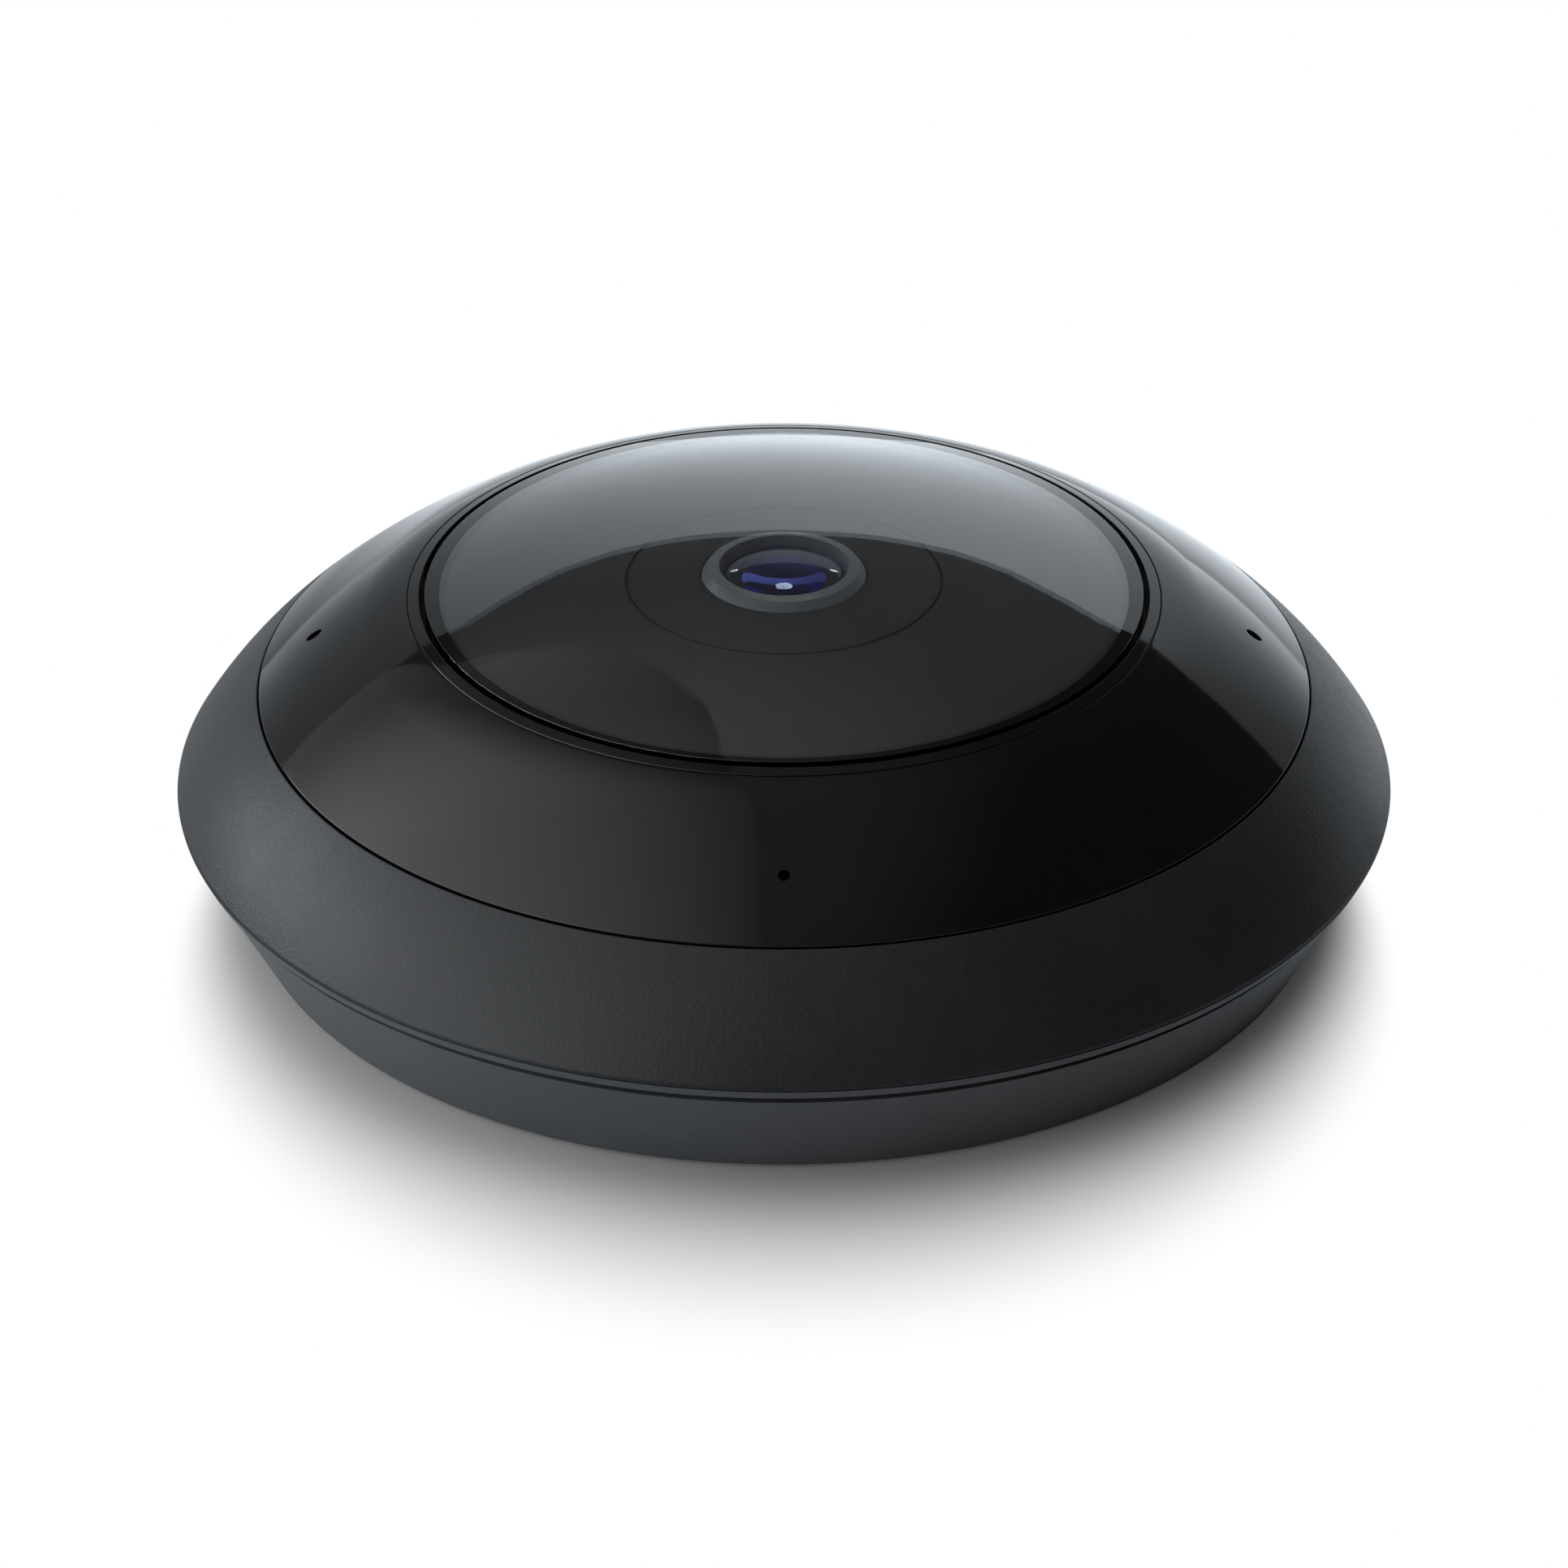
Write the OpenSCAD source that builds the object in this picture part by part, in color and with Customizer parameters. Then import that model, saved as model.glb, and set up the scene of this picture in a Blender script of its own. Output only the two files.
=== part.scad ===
// Low round ceiling camera with a fixed fisheye lens under a clear shallow dome.
// Z points out of the ceiling; the ceiling face of the mount plate lies at z = 0.

/* [Heights, from the ceiling up] */
// Height of the lower band's top edge
band_h = 14.05; // [13.4:0.05:15]
// Height of the black seam over the lower band
seam_w = 0.75; // [0.6:0.05:1]
// Rise from the seam to the rim's widest line
lip_rise = 1.8; // [1.6:0.1:2.4]
// Rise of the matte cover from the rim to its seam
matte_rise = 13.3; // [12.4:0.1:14.4]
// Rise of the glossy ring from the seam to its soft shoulder
gloss_rise = 9.65; // [9:0.05:10.2]
// Rise of the shoulder to the fine line round the window's trim ring
shoulder_rise = 2.55; // [2.3:0.05:2.8]
// Rise of the clear dome over that line
crown_rise = 6.9; // [6.4:0.1:7.6]

/* [Widths, from the window out] */
// Diameter of the clear dome
window_d = 92.4; // [90:0.2:95]
// Width of the dark gap round the window
window_gap = 0.6; // [0.4:0.1:0.8]
// Width of the glossy trim ring as seen from the front
trim_w = 1.5; // [1.2:0.1:1.8]
// Width of the glossy ring's shoulder
shoulder_w = 6; // [5.6:0.1:6.6]
// Width of the glossy ring from its shoulder to the seam
gloss_w = 13.65; // [12.6:0.05:14.6]
// Width of the matte cover from the seam to the rim
matte_w = 11.05; // [10.4:0.05:12]
// Step in from the rim to the lip's lower edge
lip_inset = 0.8; // [0.5:0.1:1]
// Step in from the rim to the band's top edge
band_inset = 1.6; // [1.3:0.1:2]
// Lean of the band from its top to its foot
band_taper = 7; // [6:0.1:8]
// Radius of the rounded rim
rim_round = 1.2; // [0.8:0.1:1.6]

/* [Shells] */
// Wall of the cast lower band
band_t = 2.6; // [2.2:0.1:2.8]
// Wall of the moulded front shells
cover_t = 2.4; // [2:0.1:2.6]
// Thickness of the clear dome
window_t = 2; // [1.6:0.1:2.2]
// Diameter of the microphone holes
mic_hole_d = 1.45; // [1:0.05:2]
// Distance of the microphone holes from the shoulder
mic_inset = 6.4; // [5.8:0.1:6.8]
// Number of microphones
mic_count = 4; // [4]

/* [Lens and shroud] */
// Gap between the satin shroud and the window's edge
shroud_gap = 2.35; // [2:0.05:3]
// Drop from the trim line to the shroud's outer edge
shroud_drop = 1.2; // [1:0.1:1.6]
// Rise of the shroud from its edge to the lens plate
shroud_rise = 1.7; // [1.5:0.1:1.8]
// Diameter of the lens plate
lens_plate_d = 40.4; // [38:0.2:42]
// Diameter of the bezel at its foot
bezel_d = 21; // [20.6:0.1:21.6]
// Diameter of the bezel at its top
bezel_top_d = 19.3; // [18.8:0.1:19.8]
// Diameter of the bezel's opening
bezel_bore_d = 16.5; // [16.4:0.1:17]
// Height that the bezel stands above the lens plate
bezel_stand = 1.25; // [1:0.05:1.4]
// Diameter of the lens barrel's thread
barrel_d = 14; // [13.6:0.1:14.4]
// Diameter of the front glass
front_glass_d = 14.8; // [14.2:0.1:15]

/* [Mounting] */
// Thickness of the mount plate's flanges
plate_t = 2.2; // [1.8:0.1:2.4]
// Height of the mount plate's raised channel
channel_h = 5.4; // [5.2:0.1:5.6]
// Distance of the bayonet studs from the plate's rim
stud_inset = 15.2; // [15:0.1:15.4]
// Angle that the camera turns to unhook
twist = 15; // [12:1:18]
// Bolt circle of the ceiling screws
wall_pcd = 83.3; // [80:0.1:84]
// Bolt circle of the two junction-box screws
box_pcd = 60; // [58:0.5:64]
// Diameter of the screw holes
wall_hole_d = 4.6; // [4:0.1:5]
// Bore of the central cable well
well_d = 43.8; // [43.4:0.1:44.4]
// Wall of the collar round the cable well
collar_t = 2.04; // [1.8:0.02:2.2]

/* [Inside] */
// Height of the bosses that carry the main board
boss_h = 12.5; // [12.2:0.1:12.8]
// Thickness of the main circuit board
board_t = 1.6; // [1.4:0.1:1.8]
// Side of the square filters
filter_w = 7.8; // [7.4:0.1:8]
// Travel of the filter slider
filter_pitch = 8.5; // [8.4:0.1:8.8]
// Half of the arm's swing
arm_swing = 30; // [28:0.5:32]
// Number of infrared lamps
led_count = 8; // [4, 8]

/* [Hidden] */
$fn = 96;
fine = 360;

// Clearances: bodies that move apart, a turning fit, and pieces of one body
run_gap = 0.3;
pivot_gap = 0.06;
seat_gap = 0.1;
cut = 0.4;

// Radii of the outer form, from the window to the rim and down to the band's foot
window_r = window_d / 2;
trim_bore_r = window_r + window_gap;
trim_r = trim_bore_r + trim_w;
shoulder_r = trim_r + shoulder_w;
cover_seam_r = shoulder_r + gloss_w;
rim_r = cover_seam_r + matte_w;
lip_r = rim_r - lip_inset;
band_r = rim_r - band_inset;
foot_r = band_r - band_taper;

// Heights of the outer form, from the ceiling up to the crown
foot_h = 2 * run_gap;
lip_h = band_h + seam_w;
rim_h = lip_h + lip_rise;
cover_seam_h = rim_h + matte_rise;
shoulder_h = cover_seam_h + gloss_rise;
trim_h = shoulder_h + shoulder_rise;
crown_h = trim_h + crown_rise;
lip_slope = 120;

// A slope is measured from the horizontal, 0 on the crown and 90 on a wall.
function chord_slope(a, b) = atan2(a[1] - b[1], b[0] - a[0]);
function end_slope(a, b, s) = 2 * chord_slope(a, b) - s;
function arc_radius(a, b, s) = norm(b - a) / (2 * sin((end_slope(a, b, s) - s) / 2));
function out_dir(s) = [sin(s), cos(s)];
function arc_centre(a, b, s) = a - arc_radius(a, b, s) * out_dir(s);
function arc_h(c, r, x) = c[1] + sqrt(r * r - (x - c[0]) * (x - c[0]));

// The skin runs in four arcs that meet tangent: crown, shoulder, glossy ring, matte ring.
trim_p = [trim_r, trim_h];
shoulder_p = [shoulder_r, shoulder_h];
seam_p = [cover_seam_r, cover_seam_h];
crown_arc_r = (trim_r * trim_r + crown_rise * crown_rise) / (2 * crown_rise);
crown_c = [0, crown_h - crown_arc_r];
trim_s = asin(trim_r / crown_arc_r);
shoulder_c = arc_centre(trim_p, shoulder_p, trim_s);
shoulder_arc_r = arc_radius(trim_p, shoulder_p, trim_s);
shoulder_s = end_slope(trim_p, shoulder_p, trim_s);
gloss_c = arc_centre(shoulder_p, seam_p, shoulder_s);
gloss_arc_r = arc_radius(shoulder_p, seam_p, shoulder_s);
seam_s = end_slope(shoulder_p, seam_p, shoulder_s);
rim_c = [rim_r - rim_round, rim_h];
function rim_point(s) = rim_c + rim_round * out_dir(s);
function rim_slope(s, passes) = passes == 0 ? s
    : rim_slope(end_slope(seam_p, rim_point(s), seam_s), passes - 1);
rim_s = rim_slope(seam_s, 6);
rim_p = rim_point(rim_s);
matte_c = arc_centre(seam_p, rim_p, seam_s);
matte_arc_r = arc_radius(seam_p, rim_p, seam_s);

// Parts of the filter changer that set the height of the lens bracket
web_t = 0.5;
sensor_room = 1.8;
slider_t = 1.2;
holder_flange_t = 1;
sensor_board_t = 1.2;
sensor_plug_h = 1.2;
plug_clear = 0.8;
case_h = sensor_room + web_t + run_gap + slider_t + run_gap;

// Height stack: floor, main board, lens bracket and the shelf that carries the lamps
floor_h = channel_h + run_gap;
floor_t = 2.2;
floor_top = floor_h + floor_t;
board_h = floor_top + boss_h;
board_top = board_h + board_t;
standoff_h = plug_clear + sensor_plug_h + sensor_board_t + case_h + holder_flange_t;
bracket_h = board_top + standoff_h;
bracket_t = 2;
bracket_top = bracket_h + bracket_t;
shelf_drop = 3.1;
shelf_t = 2.4;
shelf_top = cover_seam_h - shelf_drop;
shelf_h = shelf_top - shelf_t;

// Radii that several pieces share
post_inset = 18;
plate_r = foot_r - band_t - 2 * run_gap;
stud_r = plate_r - stud_inset;
well_r = well_d / 2;
collar_r = well_r + collar_t + pivot_gap;
spigot_step = 2.4;
spigot_r = band_r - spigot_step;
spigot_t = 2;
spigot_h = 3.5;
cover_screw_inset = 11;
cover_screw_r = spigot_r - cover_screw_inset;
shelf_w = 7.45;
shelf_r0 = cover_seam_r - shelf_w;
board_edge = 4.5;
board_r = shelf_r0 - board_edge;
post_r = board_r - post_inset;
inner_skirt_t = 2.1;
outer_skirt_t = 2.4;
ir_board_r0 = trim_r + seat_gap + inner_skirt_t;
ir_board_r1 = cover_seam_r - seat_gap - outer_skirt_t - run_gap;

// Slope of the band's wall, from its foot to its top
band_lean = (band_r - foot_r) / (band_h - foot_h);
function band_at(h) = foot_r + (h - foot_h) * band_lean;

module zone(r0, r1, h0, h1) {
    translate([r0, h0]) square([r1 - r0, h1 - h0]);
}

module disc_at(c, r) {
    translate(c) circle(r, $fn = fine);
}

// Everything under the skin, or under the skin moved inwards by inset
module under_skin(inset) {
    r1 = trim_r - inset * sin(trim_s);
    r2 = shoulder_r - inset * sin(shoulder_s);
    r3 = cover_seam_r - inset * sin(seam_s);
    r4 = rim_p[0] - inset * sin(rim_s);
    intersection() {
        disc_at(crown_c, crown_arc_r - inset);
        zone(0, r1, 0, crown_h);
    }
    intersection() {
        disc_at(shoulder_c, shoulder_arc_r - inset);
        zone(r1, r2, 0, crown_h);
    }
    intersection() {
        disc_at(gloss_c, gloss_arc_r - inset);
        zone(r2, r3, 0, crown_h);
    }
    intersection() {
        disc_at(matte_c, matte_arc_r - inset);
        zone(r3, r4, 0, crown_h);
    }
}

module turned() {
    rotate_extrude($fn = fine) children();
}

module around(count, r, start) {
    for (i = [0 : count - 1])
        rotate(start + i * 360 / count) translate([r, 0, 0]) children();
}

module tube(r1, r0, h0, h1) {
    translate([0, 0, h0]) difference() {
        cylinder(r = r1, h = h1 - h0);
        translate([0, 0, -cut]) cylinder(r = r0, h = h1 - h0 + 2 * cut);
    }
}

module rod(r, h0, h1) {
    translate([0, 0, h0]) cylinder(r = r, h = h1 - h0);
}

module block(x, y, h0, h1) {
    translate([-x / 2, -y / 2, h0]) cube([x, y, h1 - h0]);
}

// A pan head over a shank; the socket is a hexagon sunk in the head's top.
module screw(head_r, head_t, shank_r, length) {
    socket_share = 0.5;
    difference() {
        cylinder(r = head_r, h = head_t);
        translate([0, 0, head_t / 2])
            cylinder(r = head_r * socket_share, h = head_t, $fn = 6);
    }
    rod(shank_r, -length, 0);
}

// Mount plate: pressed flanges with a raised ring channel for the bayonet keyholes
plate_edge_inset = 0.8;
plate_edge_r = foot_r - plate_edge_inset;
plate_edge_t = 0.3;
plate_wall = 1.6;
channel_w = 11;
channel_r0 = stud_r - channel_w / 2;
channel_r1 = stud_r + channel_w / 2;
channel_top_t = 1.8;
plate_collar_t = 2;
stud_count = 3;
stud_angle = 15;
stud_neck_r = 2;
stud_head_r = 3.4;
stud_head_t = 1.8;
slot_w = 2 * (stud_neck_r + run_gap);
entry_r = stud_head_r + 2 * run_gap;
wall_holes = 4;
box_holes = 2;
edge_notch_w = 44.6;
plate_rib_t = 1.4;
plate_rib_h = 1.8;
plate_ribs = 8;
lug_l = 4.4;
lug_r1 = plate_r - plate_edge_inset;
lug_r0 = lug_r1 - lug_l;
lug_w = 8;
lock_h = 3.7;
lock_r = 1.5;
lock_hole_r = lock_r + run_gap;

module plate_profile() {
    zone(collar_r, collar_r + plate_collar_t, 0, channel_h);
    zone(collar_r, channel_r0 + plate_wall, 0, plate_t);
    zone(channel_r0, channel_r0 + plate_wall, 0, channel_h);
    zone(channel_r0, channel_r1, channel_h - channel_top_t, channel_h);
    zone(channel_r1 - plate_wall, channel_r1, 0, channel_h);
    zone(channel_r1 - plate_wall, plate_r, 0, plate_t);
    zone(channel_r1, plate_edge_r, 0, plate_edge_t);
}

module keyhole() {
    deep = channel_top_t + 2 * cut;
    translate([0, 0, channel_h - channel_top_t - cut]) {
        rotate_extrude(angle = twist) zone(stud_r - slot_w / 2, stud_r + slot_w / 2, 0, deep);
        translate([stud_r, 0, 0]) cylinder(d = slot_w, h = deep);
        rotate(twist) translate([stud_r, 0, 0]) cylinder(r = entry_r, h = deep);
    }
}

module mount_plate() {
    color("#2b2c2e") difference() {
        union() {
            turned() plate_profile();
            rib_r = (collar_r + plate_collar_t + channel_r0) / 2;
            rib_l = channel_r0 - collar_r - plate_collar_t / 2;
            around(plate_ribs, rib_r, 180 / plate_ribs)
                block(rib_l, plate_rib_t, plate_t - cut, plate_t + plate_rib_h);
            rotate(90) translate([(lug_r0 + lug_r1) / 2, 0, 0])
                block(lug_r1 - lug_r0, lug_w, plate_t - cut, channel_h);
        }
        for (i = [0 : stud_count - 1])
            rotate(stud_angle + i * 360 / stud_count) keyhole();
        around(wall_holes, wall_pcd / 2, 0)
            rod(wall_hole_d / 2, -cut, plate_t + cut);
        around(box_holes, box_pcd / 2, 45)
            rod(wall_hole_d / 2, -cut, plate_t + cut);
        rotate(90) translate([0, 0, lock_h]) rotate([0, 90, 0])
            rod(lock_hole_r, lug_r0 - cut, lug_r1 + cut);
        translate([-edge_notch_w / 2, -plate_edge_r - cut, -cut])
            cube([edge_notch_w, plate_edge_r + cut - sqrt(plate_r * plate_r
                - edge_notch_w * edge_notch_w / 4), plate_edge_t + 2 * cut]);
    }
}

// Bayonet studs: neck, mushroom head and a shank that screws into the rear housing
stud_shank_r = 1.5;
stud_shank_l = 4.6;
stud_boss_r = 4;
stud_boss_h = 3.6;

module bayonet_studs() {
    neck_h0 = channel_h - channel_top_t - run_gap;
    color("#b9bcc0") around(stud_count, stud_r, stud_angle) {
        rod(stud_head_r, neck_h0 - stud_head_t, neck_h0);
        rod(stud_neck_r, neck_h0, floor_h);
        rod(stud_shank_r, floor_h, floor_h + stud_shank_l);
    }
}

// Lock screw: hexagon socket grub screw through the back of the band
lock_l = 4.6;
lock_socket_r = 0.9;
lock_boss_r = 3.2;
lock_tip_r = lug_r1 + run_gap;

module lock_screw() {
    color("#8d9094") rotate(90) translate([0, 0, lock_h]) rotate([0, 90, 0])
        difference() {
            rod(lock_r, lock_tip_r, lock_tip_r + lock_l);
            translate([0, 0, lock_tip_r + lock_l / 2])
                cylinder(r = lock_socket_r, h = lock_l, $fn = 6);
        }
}

// Rear housing: cast cone band, floor, cable collar, bosses, ribs and heat pedestal
cover_boss_r = 3.6;
cover_screw_shank_r = 1.5;
cover_screw_count = 4;
cover_screw_angle = 30;
cover_boss_rise = 1.3;
cover_boss_h = lip_h + cover_boss_rise;
cover_screw_bite = 5.1;
cover_screw_l = cover_boss_h + cover_screw_bite - floor_h;
post_boss_r = 3.5;
post_count = 4;
post_angle = 45;
post_stem_r = 1.45;
post_stem_l = 6.5;
rib_count = 16;
rib_t = 1.6;
rib_h = 2.6;
rib_inset = 8;
rib_r0 = stud_r - rib_inset;
jack_x = 16;
jack_y = 13.6;
jack_at = [0, 12];
jack_sink = 0.2;
reset_at = [-13, -6];
reset_r = 1.5;
vent_at = [13, -6];
vent_hole_r = 1.5;
vent_r = 4;
vent_t = 0.3;
chip_w = 20;
chip_t = 1.6;
chip_at = [0, -32];
pad_t = 1;
pedestal_w = chip_w + 2;

module housing_profile() {
    wall_h = 12.5;
    polygon([
        [foot_r, foot_h], [band_r, band_h], [spigot_r, band_h],
        [spigot_r, band_h + spigot_h], [spigot_r - spigot_t, band_h + spigot_h],
        [spigot_r - spigot_t, wall_h], [band_at(floor_top) - band_t, floor_top],
        [0, floor_top], [0, floor_h], [band_at(floor_h) - band_t, floor_h],
        [foot_r - band_t, foot_h]
    ]);
    zone(well_r, well_r + collar_t, foot_h + run_gap, floor_h + cut);
}

module rear_housing() {
    rib_l = band_at(floor_top) - band_t - rib_r0;
    color("#3d4043") difference() {
        union() {
            turned() housing_profile();
            around(rib_count, rib_r0 + rib_l / 2, 180 / rib_count)
                block(rib_l, rib_t, floor_top - cut, floor_top + rib_h);
            around(post_count, post_r, post_angle)
                rod(post_boss_r, floor_top - cut, board_h);
            around(stud_count, stud_r, stud_angle)
                rod(stud_boss_r, floor_top - cut, floor_top + stud_boss_h);
            around(cover_screw_count, cover_screw_r, cover_screw_angle)
                rod(cover_boss_r, floor_top - cut, cover_boss_h);
            translate(chip_at)
                block(pedestal_w, pedestal_w, floor_top - cut, board_h - chip_t - pad_t);
            intersection() {
                rotate(90) translate([0, 0, lock_h]) rotate([0, 90, 0])
                    rod(lock_boss_r, plate_r + run_gap, foot_r);
                rod(foot_r, foot_h, floor_h + cut);
            }
        }
        around(post_count, post_r, post_angle)
            rod(post_stem_r + seat_gap / 2, board_h - post_stem_l - cut, board_h + cut);
        around(stud_count, stud_r, stud_angle)
            rod(stud_shank_r + seat_gap / 2, floor_h - cut, floor_h + stud_shank_l + cut);
        around(cover_screw_count, cover_screw_r, cover_screw_angle)
            rod(cover_screw_shank_r + seat_gap, floor_h - cut, cover_boss_h + cut);
        translate(jack_at)
            block(jack_x + 2 * seat_gap, jack_y + 2 * seat_gap, floor_h - cut, floor_top + cut);
        translate(reset_at) rod(reset_r + pivot_gap, floor_h - cut, floor_top + cut);
        translate(vent_at) rod(vent_hole_r, floor_h - cut, floor_top + cut);
        rotate(90) translate([0, 0, lock_h]) rotate([0, 90, 0])
            rod(lock_r + seat_gap / 2, lug_r1, rim_r);
    }
}

// Cover seal: rubber ring that shows as the black seam over the band
seal_w = 1.4;

module cover_seal() {
    color("#101112") turned()
        zone(spigot_r + seat_gap, spigot_r + seat_gap + seal_w, band_h, lip_h);
}

module vent_membrane() {
    color("#e8e8e4") translate(vent_at) rod(vent_r, floor_top, floor_top + vent_t);
}

// Reset button: plunger in the floor, reached with a pin; the switch returns it.
reset_travel = 0.5;
reset_sink = 0.5;
reset_flange_r = 2.6;
reset_flange_t = 0.8;
switch_w = 6;
switch_t = 3;

module reset_button() {
    color("#d9dadb") translate(reset_at) {
        rod(reset_r, floor_h + reset_sink, board_h - switch_t - reset_travel - run_gap);
        rod(reset_flange_r, floor_top + run_gap, floor_top + run_gap + reset_flange_t);
    }
}

module reset_switch() {
    color("#1d1e20") translate(reset_at) block(switch_w, switch_w, board_h - switch_t, board_h);
}

// Network socket: opens towards the ceiling, with its latch slot on the outer side
jack_bore_x = 11.8;
jack_bore_y = 7.6;
latch_x = 6.2;
latch_y = 2;
jack_depth = 12;
jack_bottom = floor_h + jack_sink;
contact_count = 8;
contact_pitch = 1.02;
contact_w = 0.4;
contact_t = 0.5;
contact_l = 9;

module ethernet_jack() {
    color("#c3c6c9") translate(jack_at) difference() {
        block(jack_x, jack_y, jack_bottom, board_h);
        block(jack_bore_x, jack_bore_y, jack_bottom - cut, jack_bottom + jack_depth);
        translate([0, jack_bore_y / 2 + latch_y / 2 - cut, 0])
            block(latch_x, latch_y + 2 * cut, jack_bottom - cut, jack_bottom + jack_depth);
    }
}

module jack_contacts() {
    first = -(contact_count - 1) / 2;
    color("#c9a24a") translate(jack_at) for (i = [0 : contact_count - 1])
        translate([(first + i) * contact_pitch, contact_t / 2 - jack_bore_y / 2, 0])
            block(contact_w, contact_t, jack_bottom + jack_depth - contact_l,
                jack_bottom + jack_depth);
}

// Jack seal: square rubber frame on the floor round the socket
jack_seal_w = 1.8;
jack_seal_t = 1.5;

module jack_seal() {
    inner_x = jack_x + 2 * seat_gap;
    inner_y = jack_y + 2 * seat_gap;
    color("#151617") translate(jack_at) difference() {
        block(inner_x + 2 * jack_seal_w, inner_y + 2 * jack_seal_w,
            floor_top, floor_top + jack_seal_t);
        block(inner_x, inner_y, floor_top - cut, floor_top + jack_seal_t + cut);
    }
}

// Main board and what is soldered to it
flat_cable_w = 10;
cable_t = 0.2;
plug_cheek = 2.6;
socket_y = 4;
socket_h = 2.2;
sensor_socket_y = 20.5;
cable_inset = 0.5;
ir_socket_x = ir_board_r0 + cable_inset;

module main_board() {
    color("#1f4a3a") difference() {
        rod(board_r, board_h, board_top);
        around(post_count, post_r, post_angle)
            rod(post_stem_r + seat_gap, board_h - cut, board_top + cut);
    }
}

module processor() {
    color("#26282b") translate(chip_at) block(chip_w, chip_w, board_h - chip_t, board_h);
}

module thermal_pad() {
    color("#8fa3b0") translate(chip_at)
        block(chip_w, chip_w, board_h - chip_t - pad_t, board_h - chip_t);
}

transformer_at = [-25, 8];
transformer_x = 14;
transformer_y = 12;
transformer_h = 9;
transformer_lead = 0.6;

module poe_transformer() {
    core_share = 0.62;
    color("#3a3530") translate(transformer_at) {
        block(transformer_x, transformer_y, board_h - transformer_lead, board_h);
        block(transformer_x * core_share, transformer_y,
            board_h - transformer_h, board_h - transformer_lead);
        block(transformer_x, transformer_y * core_share,
            board_h - transformer_h + 2 * transformer_lead, board_h - transformer_lead);
    }
}

capacitor_r = 4;
capacitor_h = 9.5;
capacitor_ring_r = 5.4;
capacitor_at = [24, 6];

module power_capacitors() {
    foot_t = 0.8;
    foot_inset = 0.2;
    color("#34383c") translate(capacitor_at) around(3, capacitor_ring_r, 90) {
        rod(capacitor_r, board_h - capacitor_h, board_h - foot_t);
        rod(capacitor_r - foot_inset, board_h - foot_t, board_h);
    }
}

module board_connectors() {
    color("#e6e2d6") {
        translate([0, sensor_socket_y, 0])
            block(flat_cable_w + 2 * plug_cheek, socket_y, board_top, board_top + socket_h);
        translate([ir_socket_x, 0, 0])
            block(socket_y, flat_cable_w, board_top, board_top + socket_h);
    }
}

// Hexagon pillars: stems screw into the bosses through the board
post_hex_r = 3.2;
bracket_shank_r = 1.2;
bracket_shank_l = 5.6;
bracket_head_r = 2.5;
bracket_head_t = 1.6;

module standoffs() {
    color("#c8a85a") around(post_count, post_r, post_angle) difference() {
        union() {
            translate([0, 0, board_top])
                cylinder(r = post_hex_r, h = standoff_h, $fn = 6);
            rod(post_stem_r, board_top - board_t - post_stem_l + cut, board_top + cut);
        }
        rod(bracket_shank_r + seat_gap / 2, bracket_h - bracket_shank_l - cut, bracket_h + cut);
    }
}

// Lens bracket: cast plate on the pillars, with a collar and ribs round the lens
shroud_t = 1.6;
shroud_r = window_r - shroud_gap;
bracket_gap = 0.65;
bracket_r = shroud_r - shroud_t - bracket_gap;
holder_tube_r = 9.4;
bracket_bore_r = holder_tube_r + seat_gap;
bracket_collar_r = 12;
bracket_collar_h = 2.4;
bracket_rib_t = 1.8;
bracket_rib_h = 1.6;
bracket_rib_count = 8;
shroud_post_inset = 11.6;
shroud_post_r = bracket_r - shroud_post_inset;
shroud_post_count = 3;
shroud_post_angle = 30;
shroud_shank_r = 1.1;
shroud_shank_l = 7.4;
shroud_head_r = 2.1;
shroud_head_t = 1.4;
holder_screw_x = 12.6;
holder_screw_y = 9.6;
holder_shank_r = 0.95;
holder_head_r = 1.8;
holder_head_t = 1.2;
holder_bite = 1.4;

module holder_screw_places() {
    for (x = [-1, 1])
        for (y = [-1, 1])
            translate([x * holder_screw_x, y * holder_screw_y, 0]) children();
}

module lens_bracket() {
    rib_mid = (bracket_collar_r + shroud_post_r) / 2;
    rib_l = shroud_post_r - bracket_collar_r;
    color("#5c6064") difference() {
        union() {
            rod(bracket_r, bracket_h, bracket_top);
            rod(bracket_collar_r, bracket_top - cut, bracket_top + bracket_collar_h);
            around(bracket_rib_count, rib_mid, 180 / bracket_rib_count)
                block(rib_l, bracket_rib_t, bracket_top - cut, bracket_top + bracket_rib_h);
        }
        rod(bracket_bore_r, bracket_h - cut, bracket_top + bracket_collar_h + cut);
        around(post_count, post_r, post_angle)
            rod(bracket_shank_r + 2 * seat_gap, bracket_h - cut, bracket_top + cut);
        around(shroud_post_count, shroud_post_r, shroud_post_angle)
            rod(shroud_shank_r + 2 * seat_gap, bracket_h - cut, bracket_top + cut);
        holder_screw_places() rod(holder_shank_r + seat_gap / 2, bracket_h - cut,
            bracket_h + holder_bite + seat_gap);
    }
}

module bracket_screws() {
    color("#a7abaf") around(post_count, post_r, post_angle)
        translate([0, 0, bracket_top])
            screw(bracket_head_r, bracket_head_t, bracket_shank_r, bracket_t + bracket_shank_l);
}

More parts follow.
